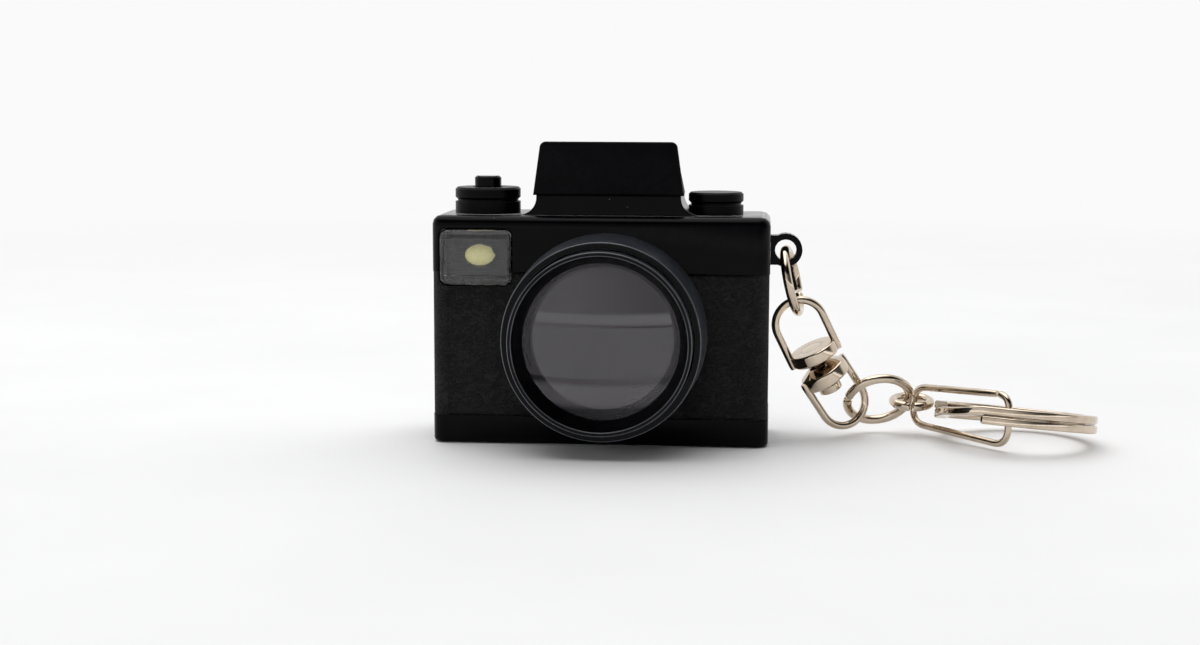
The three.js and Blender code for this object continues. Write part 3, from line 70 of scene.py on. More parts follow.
# ---------------------------------------------------------------- materials
class Look:
    """A node material whose texture space is the row frame in millimetres."""

    def __init__(self, name, **sockets):
        self.material = bpy.data.materials.new(name)
        self.material.use_nodes = True
        self.nodes = self.material.node_tree.nodes
        self.links = self.material.node_tree.links
        self.shader = self.nodes["Principled BSDF"]
        for socket, value in sockets.items():
            self.shader.inputs[socket.replace("_", " ")].default_value = value
        place = self.add("ShaderNodeTexCoord")
        scale = self.add("ShaderNodeVectorMath", operation="SCALE")
        scale.inputs["Scale"].default_value = 1 / MM
        self.link(place.outputs["Object"], scale.inputs[0])
        self.space = scale.outputs[0]

    def add(self, kind, **settings):
        node = self.nodes.new(kind)
        for name, value in settings.items():
            setattr(node, name, value)
        return node

    def link(self, source, target):
        self.links.new(source, target)

    def noise(self, scale, detail=3.0, roughness=0.55, distortion=0.0, stretch=None):
        node = self.add("ShaderNodeTexNoise")
        node.inputs["Scale"].default_value = scale
        node.inputs["Detail"].default_value = detail
        node.inputs["Roughness"].default_value = roughness
        node.inputs["Distortion"].default_value = distortion
        self.link(self.stretched(stretch) if stretch else self.space, node.inputs["Vector"])
        return node.outputs["Fac"]

    def stretched(self, stretch):
        node = self.add("ShaderNodeVectorMath", operation="MULTIPLY")
        node.inputs[1].default_value = stretch
        self.link(self.space, node.inputs[0])
        return node.outputs[0]

    def cells(self, scale):
        node = self.add("ShaderNodeTexVoronoi", feature="F1")
        node.inputs["Scale"].default_value = scale
        self.link(self.space, node.inputs["Vector"])
        return node

    def ramp(self, source, low, high, a, b):
        node = self.add("ShaderNodeMapRange")
        for socket, value in zip(("From Min", "From Max", "To Min", "To Max"), (low, high, a, b)):
            node.inputs[socket].default_value = value
        self.link(source, node.inputs["Value"])
        return node.outputs[0]

    def math(self, operation, a, b):
        node = self.add("ShaderNodeMath", operation=operation)
        for index, value in enumerate((a, b)):
            if isinstance(value, (int, float)):
                node.inputs[index].default_value = value
            else:
                self.link(value, node.inputs[index])
        return node.outputs[0]

    def tint(self, source, a, b, low=0.35, high=0.65):
        node = self.add("ShaderNodeMix", data_type="RGBA")
        node.inputs["A"].default_value = (*a, 1)
        node.inputs["B"].default_value = (*b, 1)
        self.link(self.ramp(source, low, high, 0, 1), node.inputs["Factor"])
        return node.outputs["Result"]

    def over(self, factor, under, colour):
        node = self.add("ShaderNodeMix", data_type="RGBA")
        self.link(under, node.inputs["A"])
        node.inputs["B"].default_value = (*colour, 1)
        self.link(factor, node.inputs["Factor"])
        return node.outputs["Result"]

    def colour(self, source):
        self.link(source, self.shader.inputs["Base Color"])

    def rough(self, source, low, high):
        self.link(self.ramp(source, 0.3, 0.7, low, high), self.shader.inputs["Roughness"])

    def bump(self, source, depth_mm, strength=1.0, edge_mm=0.0):
        node = self.add("ShaderNodeBump")
        node.inputs["Strength"].default_value = strength
        node.inputs["Distance"].default_value = depth_mm * MM
        self.link(source, node.inputs["Height"])
        if edge_mm:
            edge = self.add("ShaderNodeBevel", samples=6)
            edge.inputs["Radius"].default_value = edge_mm * MM
            self.link(edge.outputs[0], node.inputs["Normal"])
        self.link(node.outputs[0], self.shader.inputs["Normal"])


DUST_DENSITY, DUST_CUT, DUST_SIZE, DUST_COLOUR = 0.45, 0.72, 0.03, (0.16, 0.16, 0.16)
BROAD, MIDDLE, FINE = 0.35, 1.3, 7.0
FILM_ROUGHNESS = 0.12


def specks(look):
    """Scattered dust: a small dot in some of a set of cells."""
    cells = look.cells(DUST_DENSITY)
    chosen = look.math("GREATER_THAN", cells.outputs["Color"], DUST_CUT)
    dots = look.ramp(cells.outputs["Distance"], DUST_SIZE, DUST_SIZE * 0.6, 0, 1)
    return look.math("MULTIPLY", dots, chosen)


def moulded(name, dark, light, rough, grain_mm, edge_mm, level, film=0.0):
    """Moulded plastic; level is its specular level and film a thin sheen at a grazing angle."""
    look = Look(name, Specular_IOR_Level=level, Sheen_Weight=film, Sheen_Roughness=FILM_ROUGHNESS)
    broad = look.noise(BROAD, 3.0)
    look.colour(look.over(specks(look), look.tint(broad, dark, light), DUST_COLOUR))
    look.rough(look.noise(MIDDLE, 4.0), *rough)
    look.bump(look.noise(FINE, 2.0), grain_mm, edge_mm=edge_mm)
    return look.material


def leatherette():
    """Short level wrinkles between small pads, as embossed leather cloth has, with painted shade in their creases
    and hollows.
    """
    look = Look("leatherette", Specular_IOR_Level=0.22)
    folds = look.noise(0.75, 3.0, 0.6, 1.8, (1.0, 1.0, 1.8))
    creases = look.math("ABSOLUTE", look.math("SUBTRACT", folds, 0.5), 0)
    pads = look.noise(2.4, 4.0, 0.65, 0.8, (1.0, 1.0, 1.5))
    height = look.math("ADD", look.ramp(creases, 0.0, 0.07, 0, 0.7), pads)
    # Painted shade: the cloth is darker in its creases and hollows than on its crests.
    shaded_hollow, crest = (0.0022, 0.0021, 0.0023), (0.018, 0.0172, 0.0176)
    look.colour(look.tint(height, shaded_hollow, crest, 0.55, 1.3))
    look.rough(pads, 0.5, 0.7)
    look.bump(height, 0.26, 1.0, 0.2)
    return look.material


def plated(name, dark, light, rough, scratch=0.012):
    """Bare or plated metal, faintly uneven."""
    look = Look(name, Metallic=1.0)
    look.colour(look.tint(look.noise(0.5, 3.0), dark, light))
    look.rough(look.noise(3.0, 4.0), *rough)
    look.bump(look.noise(1.4, 4.0, 0.6, 0.4), scratch, 0.6)
    return look.material


def clear(name, dark, light, rough, level):
    """Clear acrylic."""
    look = Look(name, Transmission_Weight=1.0, IOR=1.49, Specular_IOR_Level=level)
    look.colour(look.tint(look.noise(0.3), dark, light))
    look.rough(look.noise(0.6, 4.0), *rough)
    return look.material


def plain(name, dark, light, rough, scale=1.5, painted_glow=0.0):
    """A dull surface, with a faint painted glow where a glow is given."""
    look = Look(name, Emission_Strength=painted_glow, Emission_Color=(*light, 1))
    look.colour(look.tint(look.noise(scale, 4.0), dark, light))
    look.rough(look.noise(scale * 2), *rough)
    look.bump(look.noise(scale * 4), 0.02)
    return look.material


# Moulded: darkest and lightest colour, roughness from and to, grain and eased edge in mm, level, film
BLACK = moulded("black_moulding", (0.0008, 0.0008, 0.0014), (0.0016, 0.0016, 0.0024),
                (0.12, 0.2), 0.003, 0.3, 0.075, 1.0)
CAP_BLACK = moulded("black_fine_grain", (0.0012, 0.0011, 0.0018), (0.0024, 0.0022, 0.0034),
                    (0.4, 0.55), 0.02, 0.2, 0.06)
BARREL = moulded("black_barrel", (0.0015, 0.0015, 0.0022), (0.003, 0.003, 0.0042),
                 (0.1, 0.16), 0.001, 0.0, 0.1)
# A lighter grey painted on the lens rings' eased front edges as their highlight.
RIM = moulded("black_rim_painted_highlight", (0.045, 0.047, 0.056), (0.07, 0.074, 0.086),
              (0.15, 0.25), 0.002, 0.0, 0.6)
# Painted light: the rings' outer side is a lighter, lit-looking copy of the barrel's black.
BARREL_SIDE_PAINTED_LIGHT = moulded("black_barrel_side_painted_light", (0.017, 0.019, 0.026), (0.026, 0.028, 0.037),
                      (0.28, 0.38), 0.004, 0.0, 0.4, 0.2)
DIAL = moulded("black_dial", (0.0008, 0.0008, 0.001), (0.0016, 0.0016, 0.002),
               (0.3, 0.42), 0.008, 0.05, 0.07, 0.15)
LEATHER = leatherette()
CUP = moulded("black_cup", (0.0012, 0.0012, 0.0016), (0.002, 0.002, 0.0026),
              (0.4, 0.5), 0.0005, 0.0, 0.05)
GLASS = clear("lens_glass", (0.93, 0.89, 0.96), (0.97, 0.93, 1.0), (0.0, 0.004), 0.0)
REAR_COAT = moulded("lens_rear_coat", (0.003, 0.0028, 0.0034), (0.006, 0.0054, 0.0065),
                    (0.02, 0.05), 0.0002, 0.0, 0.26)
PANE = clear("clear_plastic", (0.9, 0.9, 0.92), (0.97, 0.97, 0.98), (0.01, 0.03), 0.0)
SILVER = moulded("dull_silvering", (0.01, 0.0098, 0.011), (0.032, 0.031, 0.034),
                 (0.2, 0.35), 0.02, 0.05, 0.15)
# The phosphor's faint glow is painted light.
PHOSPHOR = plain("yellow_phosphor_painted_glow", (0.86, 0.8, 0.32), (0.95, 0.9, 0.42), (0.2, 0.35), 0.9, painted_glow=0.22)
NICKEL = plated("nickel_plating", (0.54, 0.45, 0.35), (0.64, 0.54, 0.43), (0.06, 0.13), 0.006)
STEEL = plated("plain_steel", (0.36, 0.36, 0.37), (0.48, 0.48, 0.49), (0.25, 0.4))
BRASS = plated("plain_brass", (0.48, 0.36, 0.14), (0.6, 0.46, 0.2), (0.25, 0.4))
BOARD = plain("green_board", (0.02, 0.12, 0.05), (0.03, 0.17, 0.07), (0.4, 0.55))

NODE_LOOKS = {
    BLACK: ["base_plate", "top_cover", "lens_barrel", "lens_trim_ring", "shutter_button", "strap_lug"],
    CAP_BLACK: ["prism_cap", "eyepiece_frame", "battery_door", "switch_plunger", "sound_chip"],
    LEATHER: ["body_band", "front_leatherette", "rear_leatherette"],
    DIAL: ["shutter_dial_base", "shutter_dial_cap", "rewind_knob_base", "rewind_knob_cap"],
    CUP: ["lens_cup"],
    GLASS: ["lens_glass"],
    PANE: ["flash_pane", "eyepiece_pane"],
    SILVER: ["flash_reflector"],
    PHOSPHOR: ["flash_led"],
    NICKEL: ["lug_ring", "swivel_upper", "swivel_rivet", "swivel_lower", "joining_ring", "small_ring",
             "tapered_link", "split_key_ring"],
    STEEL: ["switch_body", "button_cell_1", "button_cell_2", "button_cell_3", "battery_contact_left",
            "battery_contact_right", "battery_door_screw", "case_screw_left", "case_screw_right"],
    BRASS: ["piezo_buzzer"],
    BOARD: ["circuit_board"],
}


MERGE_M, SMOOTH_DEGREES = 2e-6, 32


def smoothing(limit_degrees):
    """Geometry nodes that join a CAD node's split facets and shade them smooth up to an angle."""
    tree = bpy.data.node_groups.new(f"smooth_to_{limit_degrees}", "GeometryNodeTree")
    tree.interface.new_socket("Geometry", in_out="INPUT", socket_type="NodeSocketGeometry")
    tree.interface.new_socket("Geometry", in_out="OUTPUT", socket_type="NodeSocketGeometry")
    nodes, links = tree.nodes, tree.links
    start, end = nodes.new("NodeGroupInput"), nodes.new("NodeGroupOutput")
    bare = nodes.new("GeometryNodeRemoveAttribute")
    bare.inputs["Name"].default_value = "custom_normal"
    merge = nodes.new("GeometryNodeMergeByDistance")
    merge.inputs["Distance"].default_value = MERGE_M
    faces, edges = nodes.new("GeometryNodeSetShadeSmooth"), nodes.new("GeometryNodeSetShadeSmooth")
    faces.domain, edges.domain = "FACE", "EDGE"
    edges.inputs["Shade Smooth"].default_value = False
    angle = nodes.new("GeometryNodeInputMeshEdgeAngle")
    sharp = nodes.new("FunctionNodeCompare")
    sharp.operation = "GREATER_THAN"
    sharp.inputs["B"].default_value = math.radians(limit_degrees)
    links.new(start.outputs[0], bare.inputs["Geometry"])
    links.new(bare.outputs[0], merge.inputs["Geometry"])
    links.new(merge.outputs[0], faces.inputs["Geometry"])
    links.new(faces.outputs[0], edges.inputs["Geometry"])
    links.new(angle.outputs["Unsigned Angle"], sharp.inputs["A"])
    links.new(sharp.outputs[0], edges.inputs["Selection"])
    links.new(edges.outputs[0], end.inputs[0])
    return tree


SMOOTH = smoothing(SMOOTH_DEGREES)
for material, names in NODE_LOOKS.items():
    for name in names:
        node = NODES[name]
        node.data.materials.clear()
        node.data.materials.append(material)
        node.modifiers.new("smooth", "NODES").node_group = SMOOTH


# ---------------------------------------------------------------- shapes
def piece(name, verts, faces, material, body, slot, *replaced, sharp=40):
    """A new mesh in millimetres of the row frame, riding on a body."""
    mesh = bpy.data.meshes.new(name)
    mesh.from_pydata([Vector(v) * MM for v in verts], [], faces)
    mesh.polygons.foreach_set("use_smooth", [True] * len(mesh.polygons))
    mesh.set_sharp_from_angle(angle=math.radians(sharp))
    mesh.materials.append(material)
    obj = bpy.data.objects.new(name, mesh)
    bpy.context.scene.collection.objects.link(obj)
    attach(obj, body)
    if replaced:
        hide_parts(*replaced)
    return obj


def joined(*parts):
    """Several (verts, faces) as one."""
    verts, faces = [], []
    for more_verts, more_faces in parts:
        start = len(verts)
        verts += list(more_verts)
        faces += [[start + i for i in face] for face in more_faces]
    return verts, faces


def placed(shape, matrix):
    """(verts, faces) carried to a matrix's place."""
    verts, faces = shape
    return [matrix @ Vector(v) for v in verts], faces


def filleted(corners, steps=5):
    """An outline of (x, y, radius) corners with its corners rounded."""
    points = []
    count = len(corners)
    for i, (x, y, radius) in enumerate(corners):
        here = Vector((x, y))
        if not radius:
            points.append((x, y))
            continue
        before = (Vector(corners[i - 1][:2]) - here).normalized()
        after = (Vector(corners[(i + 1) % count][:2]) - here).normalized()
        half = before.angle(after) / 2
        reach = radius / math.tan(half)
        centre = here + (before + after).normalized() * (radius / math.sin(half))
        first, last = here + before * reach - centre, here + after * reach - centre
        for k in range(steps + 1):
            spoke = first.lerp(last, k / steps).normalized() * radius
            points.append(tuple(centre + spoke))
    return points


def turned(profile, segments, closed):
    """A (radius, along) profile turned about local X; along runs on X, and a closed profile is a ring's."""
    verts, faces, rings = [], [], []
    for radius, along in profile:
        if radius < 1e-6:
            rings.append([len(verts)] * segments)
            verts.append((along, 0, 0))
            continue
        rings.append(list(range(len(verts), len(verts) + segments)))
        for k in range(segments):
            angle = 2 * math.pi * k / segments
            verts.append((along, radius * math.cos(angle), radius * math.sin(angle)))
    following = rings[1:] + rings[:1] if closed else rings[1:]
    for a, b in zip(rings, following):
        for k in range(segments):
            n = (k + 1) % segments
            face = list(dict.fromkeys((a[k], a[n], b[n], b[k])))
            if len(face) > 2:
                faces.append(face)
    return outward((verts, faces))


def outward(shape):
    """Turns the faces out if the closed shape's volume comes out negative."""
    verts, faces = shape
    points = [Vector(v) for v in verts]
    volume = 0.0
    for face in faces:
        first = points[face[0]]
        volume += sum(first.dot(points[i].cross(points[j])) for i, j in zip(face[1:], face[2:]))
    return verts, faces if volume > 0 else [face[::-1] for face in faces]


def band(first, second, size):
    """The faces between two rings of points that start at two indices."""
    return [[first + k, first + (k + 1) % size, second + (k + 1) % size, second + k] for k in range(size)]


def tube(path, section):
    """A closed section of (across, up) points swept along an open path with capped ends."""
    points = [Vector(p) for p in path]
    up = Vector((0, 0, 1))
    verts, faces = [], []
    size = len(section)
    for i, point in enumerate(points):
        ahead = (points[min(i + 1, len(points) - 1)] - points[max(i - 1, 0)]).normalized()
        side = ahead.cross(up).normalized()
        level = side.cross(ahead)
        verts += [point + side * a + level * b for a, b in section]
        if i:
            faces += band((i - 1) * size, i * size, size)
    faces += [list(range(size)), list(range(len(verts) - size, len(verts)))[::-1]]
    return outward((verts, faces))


def round_section(radius, sides=20):
    turns = [2 * math.pi * k / sides for k in range(sides)]
    return [(radius * math.cos(turn), radius * math.sin(turn)) for turn in turns]


CUT_END_SHARE = 0.86


def eased(path, section):
    """A swept wire or strip whose cut ends are drawn in a little."""
    verts, faces = tube(path, section)
    size = len(section)
    for ends, centre in ((range(size), path[0]), (range(len(verts) - size, len(verts)), path[-1])):
        for i in ends:
            verts[i] = Vector(centre).lerp(verts[i], CUT_END_SHARE)
    return verts, faces


def basis(origin, along, across):
    """A frame at an origin with X along one direction and Y near another."""
    x = Vector(along).normalized()
    z = x.cross(Vector(across)).normalized()
    y = z.cross(x)
    rows = [(x[i], y[i], z[i], origin[i]) for i in range(3)]
    return Matrix((*rows, (0, 0, 0, 1)))


# ---------------------------------------------------------------- lens
LENS = Matrix.Translation((LENS_X, 0, LENS_Z)) @ Matrix.Rotation(math.radians(90), 4, "Z")
LENS_SEGMENTS = 128
# Corners of the two turned rings: radius, y and fillet
BARREL_OUTLINE = [
    (9.3, -12.8, 0), (11.25, -12.8, 0.1), (11.25, -15.5, 0.12), (12.05, -15.5, 0.18), (12.5, -7.25, 0),
    (8.6, -7.25, 0), (8.6, -5.75, 0), (7.6, -5.75, 0), (7.6, -8.25, 0), (9.3, -8.25, 0),
]
TRIM_OUTLINE = [
    (10.1, -13.0, 0), (11.05, -13.0, 0), (11.05, -17.55, 0.16), (10.55, -17.55, 0.16), (9.5, -15.0, 0.2),
    (9.5, -14.4, 0.1), (10.1, -14.4, 0),
]
RIM_DEPTH, RIM_WIDTH, SIDE_DEPTH = 0.3, 0.7, 0.6
SIDE_LEAN, FRONT_LEAN = 0.2, 0.98
RIM_INDEX, SIDE_INDEX = 1, 2


def lens_ring(name, outline, node):
    """A turned ring whose eased front edges carry a painted highlight and whose outer side a lighter, painted lit
    tone.
    """
    shape = placed(turned(filleted(outline), LENS_SEGMENTS, True), LENS)
    obj = piece(name, *shape, BARREL, "camera", "gloss_black", node)
    obj.data.materials.append(RIM)
    obj.data.materials.append(BARREL_SIDE_PAINTED_LIGHT)
    front = min(y for _, y, _ in outline) + RIM_DEPTH
    outer = max(radius for radius, _, _ in outline) - SIDE_DEPTH
    for face in obj.data.polygons:
        x, y, z = face.center / MM
        away = math.hypot(x - LENS_X, z - LENS_Z)
        lean = abs(face.normal.y)
        # The eased front edges take the painted highlight and the outer side the painted lit tone.
        if y < front and SIDE_LEAN < lean < FRONT_LEAN and away > outer - RIM_WIDTH:
            face.material_index = RIM_INDEX
        elif away > outer and lean < SIDE_LEAN:
            face.material_index = SIDE_INDEX


lens_ring("barrel_shell", BARREL_OUTLINE, "lens_barrel")
lens_ring("trim_shell", TRIM_OUTLINE, "lens_trim_ring")

GLASS_RADIUS, GLASS_SAG, GLASS_EDGE_Y, GLASS_BACK_Y = 9.9, 1.7, -14.2, -13.0
GLASS_SPHERE = (GLASS_RADIUS ** 2 + GLASS_SAG ** 2) / (2 * GLASS_SAG)
GLASS_STEPS = 24
dome = [(0, GLASS_BACK_Y), (GLASS_RADIUS, GLASS_BACK_Y)]
for step in range(GLASS_STEPS + 1):
    radius = GLASS_RADIUS * (1 - step / GLASS_STEPS)
    bulge = math.sqrt(GLASS_SPHERE ** 2 - radius ** 2) - (GLASS_SPHERE - GLASS_SAG)
    dome.append((radius, GLASS_EDGE_Y - bulge))
piece("lens_dome", *placed(turned(dome, LENS_SEGMENTS, False), LENS), GLASS, "camera", "clear", "lens_glass")

# A glossy disc behind the glass carries the lens's reflection, set a little high as in the photograph
COAT_RADIUS, COAT_FRONT_Y, COAT_BACK_Y, COAT_EDGE, COAT_RISE = 8.5, -12.98, -12.84, 0.04, 0.35
COAT_SEGMENTS = 96
COAT = Matrix.Translation((0, 0, COAT_RISE)) @ LENS
coat = filleted([
    (0, COAT_FRONT_Y, 0), (COAT_RADIUS, COAT_FRONT_Y, COAT_EDGE), (COAT_RADIUS, COAT_BACK_Y, COAT_EDGE),
    (0, COAT_BACK_Y, 0),
])
piece("lens_rear_coat", *placed(turned(coat, COAT_SEGMENTS, False), COAT), REAR_COAT, "camera", "dark_inside")

# ---------------------------------------------------------------- flash light
LED_RADIUS, LED_SAG, LED_BACK_Y, LED_EDGE_Y, LED_FRONT_Y = 1.85, 1.05, -3.55, -4.6, -5.65
LED_SHIFT_X, LED_SHIFT_Z, LED_FLATNESS, LED_SEGMENTS = 0.2, 0.1, 2.6 / 3.7, 48
FLASH_LED = Matrix.Translation((FLASH_X + LED_SHIFT_X, 0, FLASH_Z + LED_SHIFT_Z)) @ Matrix.Diagonal(
    (1, 1, LED_FLATNESS, 1)) @ Matrix.Rotation(math.radians(90), 4, "Z")
led = [(0, LED_BACK_Y), (LED_RADIUS, LED_BACK_Y), (LED_RADIUS, LED_EDGE_Y)]
for degrees in range(10, 90, 10):
    turn = math.radians(degrees)
    led.append((LED_RADIUS * math.cos(turn), LED_EDGE_Y - LED_SAG * math.sin(turn)))
led.append((0, LED_FRONT_Y))
piece("led_dome", *placed(turned(led, LED_SEGMENTS, False), FLASH_LED), PHOSPHOR, "camera", "phosphor",
      "flash_led")

PANE_CORNER, PANE_EASE, PANE_FRONT_Y, PANE_BACK_Y = 0.9, 0.22, -7.5, -6.5
PANE_ROWS, PANE_SIDES = 96, 8
FLUTE_PITCH, FLUTE_HALF_DEPTH, FLUTES_LEFT_OUT = 1.13, 0.07, 2


def ribbed_pane():
    """A clear pane with an eased front edge and level flutes in its back, left out before the light."""
    half_w, half_h = FLASH_WIDTH / 2, FLASH_HEIGHT / 2
    edge = PANE_FRONT_Y + PANE_EASE
    verts, faces = [], []
    for k in range(PANE_ROWS + 1):
        z = half_h * math.sin(math.pi * (k / PANE_ROWS - 0.5))
        over = max(abs(z) - (half_h - PANE_CORNER), 0)
        width = half_w - PANE_CORNER + math.sqrt(max(PANE_CORNER ** 2 - over ** 2, 0))
        lip = 1 - min(max((half_h - abs(z)) / PANE_EASE, 0), 1)
        near = PANE_FRONT_Y + PANE_EASE * (1 - math.sqrt(1 - lip ** 2))
        far = PANE_BACK_Y
        if abs(z) > FLUTES_LEFT_OUT * FLUTE_PITCH:
            far -= FLUTE_HALF_DEPTH * (1 + math.cos(2 * math.pi * z / FLUTE_PITCH))
        inner = max(width - PANE_EASE, 0.0)
        for x, y in ((-width, edge), (-inner, near), (inner, near), (width, edge),
                     (width, PANE_BACK_Y), (inner, far), (-inner, far), (-width, PANE_BACK_Y)):
            verts.append((FLASH_X + x, y, FLASH_Z + z))
        if k:
            faces += band(PANE_SIDES * (k - 1), PANE_SIDES * k, PANE_SIDES)
    last = PANE_SIDES * PANE_ROWS
    faces += [list(range(PANE_SIDES)), list(range(last, last + PANE_SIDES))[::-1]]
    return outward((verts, faces))


piece("flash_ribbed_pane", *ribbed_pane(), PANE, "camera", "clear", "flash_pane")

# ---------------------------------------------------------------- leather cloth at the front corners
CORNER_X, CORNER_Y, CORNER_RADIUS, CORNER_STEPS = 19.4, -5.65, 1.5, 8
CLOTH_FRONT_Y, CLOTH_SIDE_X, CLOTH_END_Y = -7.15, 20.9, -4.6
CLOTH_PROUD, CLOTH_SUNK = 0.025, 0.06
CLOTH_LOW, FLASH_SILL, CLOTH_HIGH = 3.52, 19.75, 21.48
CLOTH_START_X, BESIDE_FLASH_X = 18.9, 20.06


def corner_wrap(side, low, high, start_x):
    """Cloth carried from the front panel round the body's upright corner, starting at an x of the front."""
    path, start = [], 0
    if start_x < CORNER_X:
        path.append((start_x, CLOTH_FRONT_Y, 0, -1))
    else:
        start = math.degrees(math.asin((start_x - CORNER_X) / CORNER_RADIUS))
    for k in range(CORNER_STEPS + 1):
        turn = math.radians(start + (90 - start) * k / CORNER_STEPS)
        x, y = math.sin(turn), -math.cos(turn)
        path.append((CORNER_X + CORNER_RADIUS * x, CORNER_Y + CORNER_RADIUS * y, x, y))
    path.append((CLOTH_SIDE_X, CLOTH_END_Y, 1, 0))
    outline = [(x + CLOTH_PROUD * nx, y + CLOTH_PROUD * ny) for x, y, nx, ny in path]
    outline += [(x - CLOTH_SUNK * nx, y - CLOTH_SUNK * ny) for x, y, nx, ny in reversed(path)]
    verts = [(side * x, y, z) for z in (low, high) for x, y in outline]
    size = len(outline)
    faces = band(0, size, size)
    faces += [list(range(size)), list(range(size, 2 * size))[::-1]]
    return outward((verts, faces))


right_cloth = corner_wrap(1, CLOTH_LOW, CLOTH_HIGH, CLOTH_START_X)
left_cloth = joined(corner_wrap(-1, CLOTH_LOW, FLASH_SILL, CLOTH_START_X),
                    corner_wrap(-1, FLASH_SILL, CLOTH_HIGH, BESIDE_FLASH_X))
piece("corner_cloth_right", *right_cloth, LEATHER, "camera", "leatherette")
piece("corner_cloth_left", *left_cloth, LEATHER, "camera", "leatherette")

# ---------------------------------------------------------------- chain
# Each piece's direction along the chain and a direction across it, as in the CAD
HANG = {
    "lug_ring": ((0.22, 0, -0.975), (0.13, 0.99, 0)),
    "upper": ((0.43, 0.151, -0.89), (0.89, 0.04, 0.44)),
    "lower": ((0.54, 0.16, -0.825), (0.716, 0.336, 0.62)),
    "joining": ((0.889, -0.149, 0.384), (0.399, 0.654, -0.686)),
    "small": ((0.997, -0.075, -0.021), (0.077, 0.99, 0.12)),
    "link": ((0.659, -0.752, 0.015), (0.046, 0.061, 0.997)),
    "key": ((0.976, -0.217, -0.05), (0.208, 0.965, -0.156)),
}
LUG_EYE = Vector((22.9, 0, 24.1))
# From a wire's contact point to the middle of the loop that hangs on it, and on to the next contact
UPPER_SEAT = Vector((0.11, 0.18, -0.97))
LOWER_EXIT = (0.765, 0.41, 0.224)
JOINING_SEAT = Vector((0.749, -0.225, -0.218))
JOINING_EXIT = (0.938, 0.33, -0.114)
SMALL_SEAT = Vector((0.79, 0.36, -0.05))
LINK_SEAT = Vector((0.36, 0.89, -0.56))


def onward(origin, direction, distance):
    return origin + Vector(direction).normalized() * distance


lug_centre = onward(LUG_EYE, HANG["lug_ring"][0], JUMP_RADIUS)
lug_end = onward(LUG_EYE, HANG["lug_ring"][0], 2 * JUMP_RADIUS)
upper_arch = lug_end + UPPER_SEAT * (ARCH_RADIUS - ARCH_WIRE - JUMP_WIRE - SLACK)
lower_floor = onward(upper_arch, HANG["upper"][0], ARCH_REACH + SWIVEL_GAP)
lower_arch = onward(lower_floor, HANG["lower"][0], ARCH_REACH)
lower_end = onward(lower_arch, LOWER_EXIT, ARCH_RADIUS)
joining_centre = lower_end + JOINING_SEAT * (JUMP_RADIUS - JUMP_WIRE - ARCH_WIRE - SLACK)
joining_end = onward(joining_centre, JOINING_EXIT, JUMP_RADIUS)
small_centre = joining_end + SMALL_SEAT * (SMALL_RADIUS - SMALL_WIRE - JUMP_WIRE - SLACK)
link_start = small_centre + LINK_SEAT * (SMALL_RADIUS - SMALL_WIRE - LINK_WIRE - SLACK)
key_centre = onward(onward(link_start, HANG["link"][0], KEY_PASS), HANG["key"][0], KEY_RADIUS)

CHAIN_SHARP = 50
RING_CUT, RING_STEPS = 0.45, 120


def ring(name, node, origin, hang, radius, wire, cut_degrees):
    """A jump ring, cut through at an angle, on the body of its node's name."""
    half = math.degrees(RING_CUT / radius / 2)
    turns = [math.radians(cut_degrees + half + (360 - 2 * half) * k / RING_STEPS) for k in range(RING_STEPS + 1)]
    path = [(radius * math.cos(turn), radius * math.sin(turn), 0) for turn in turns]
    shape = placed(eased(path, round_section(wire)), basis(origin, *hang))
    piece(name, *shape, NICKEL, node, "nickel", node, sharp=CHAIN_SHARP)


ring("lug_ring_wire", "lug_ring", lug_centre, HANG["lug_ring"], JUMP_RADIUS, JUMP_WIRE, 60)
ring("joining_ring_wire", "joining_ring", joining_centre, HANG["joining"], JUMP_RADIUS, JUMP_WIRE, 215)
ring("small_ring_wire", "small_ring", small_centre, HANG["small"], SMALL_RADIUS, SMALL_WIRE, 270)

LEG_SUNK, LEG_FOOT, LEG_STEP, LEG_STEPS, ARCH_STEPS = 0.05, 0.55, 0.5, 10, 60
DISC_RADIUS, DISC_THICKNESS, DISC_SEGMENTS = 3.1, 1.6, 64


def stirrup(name, node, origin, hang, direction, bore, dome_height, mouth, sink):
    """Half a swivel, on the body of its node's name: a wire arch with a bored disc across its legs."""
    path = [(direction * (ARCH_REACH - LEG_SUNK - k * LEG_STEP), ARCH_RADIUS, 0) for k in range(LEG_STEPS)]
    for k in range(ARCH_STEPS + 1):
        turn = math.pi / 2 + direction * math.pi * k / ARCH_STEPS
        path.append((ARCH_RADIUS * math.cos(turn), ARCH_RADIUS * math.sin(turn), 0))
    path += [(direction * (LEG_FOOT + k * LEG_STEP), -ARCH_RADIUS, 0) for k in range(LEG_STEPS)]
    inner = ARCH_REACH - DISC_THICKNESS
    disc = filleted([
        (mouth, direction * inner, 0.02), (DISC_RADIUS, direction * inner, 0.3),
        (DISC_RADIUS, direction * ARCH_REACH, 0.35), (bore, direction * (ARCH_REACH + dome_height), 0.15),
        (bore, direction * (inner + sink), 0.05), (mouth, direction * (inner + sink), 0),
    ])
    shape = joined(eased(path, round_section(ARCH_WIRE)), turned(disc, DISC_SEGMENTS, True))
    piece(name, *placed(shape, basis(origin, *hang)), NICKEL, node, "nickel", node, sharp=CHAIN_SHARP)


stirrup("swivel_upper_wire", "swivel_upper", upper_arch, HANG["upper"], 1, 0.95, 0, 1.42, 0.8)
stirrup("swivel_lower_wire", "swivel_lower", lower_arch, HANG["lower"], -1, 1.3, 0.9, 1.45, 0.15)

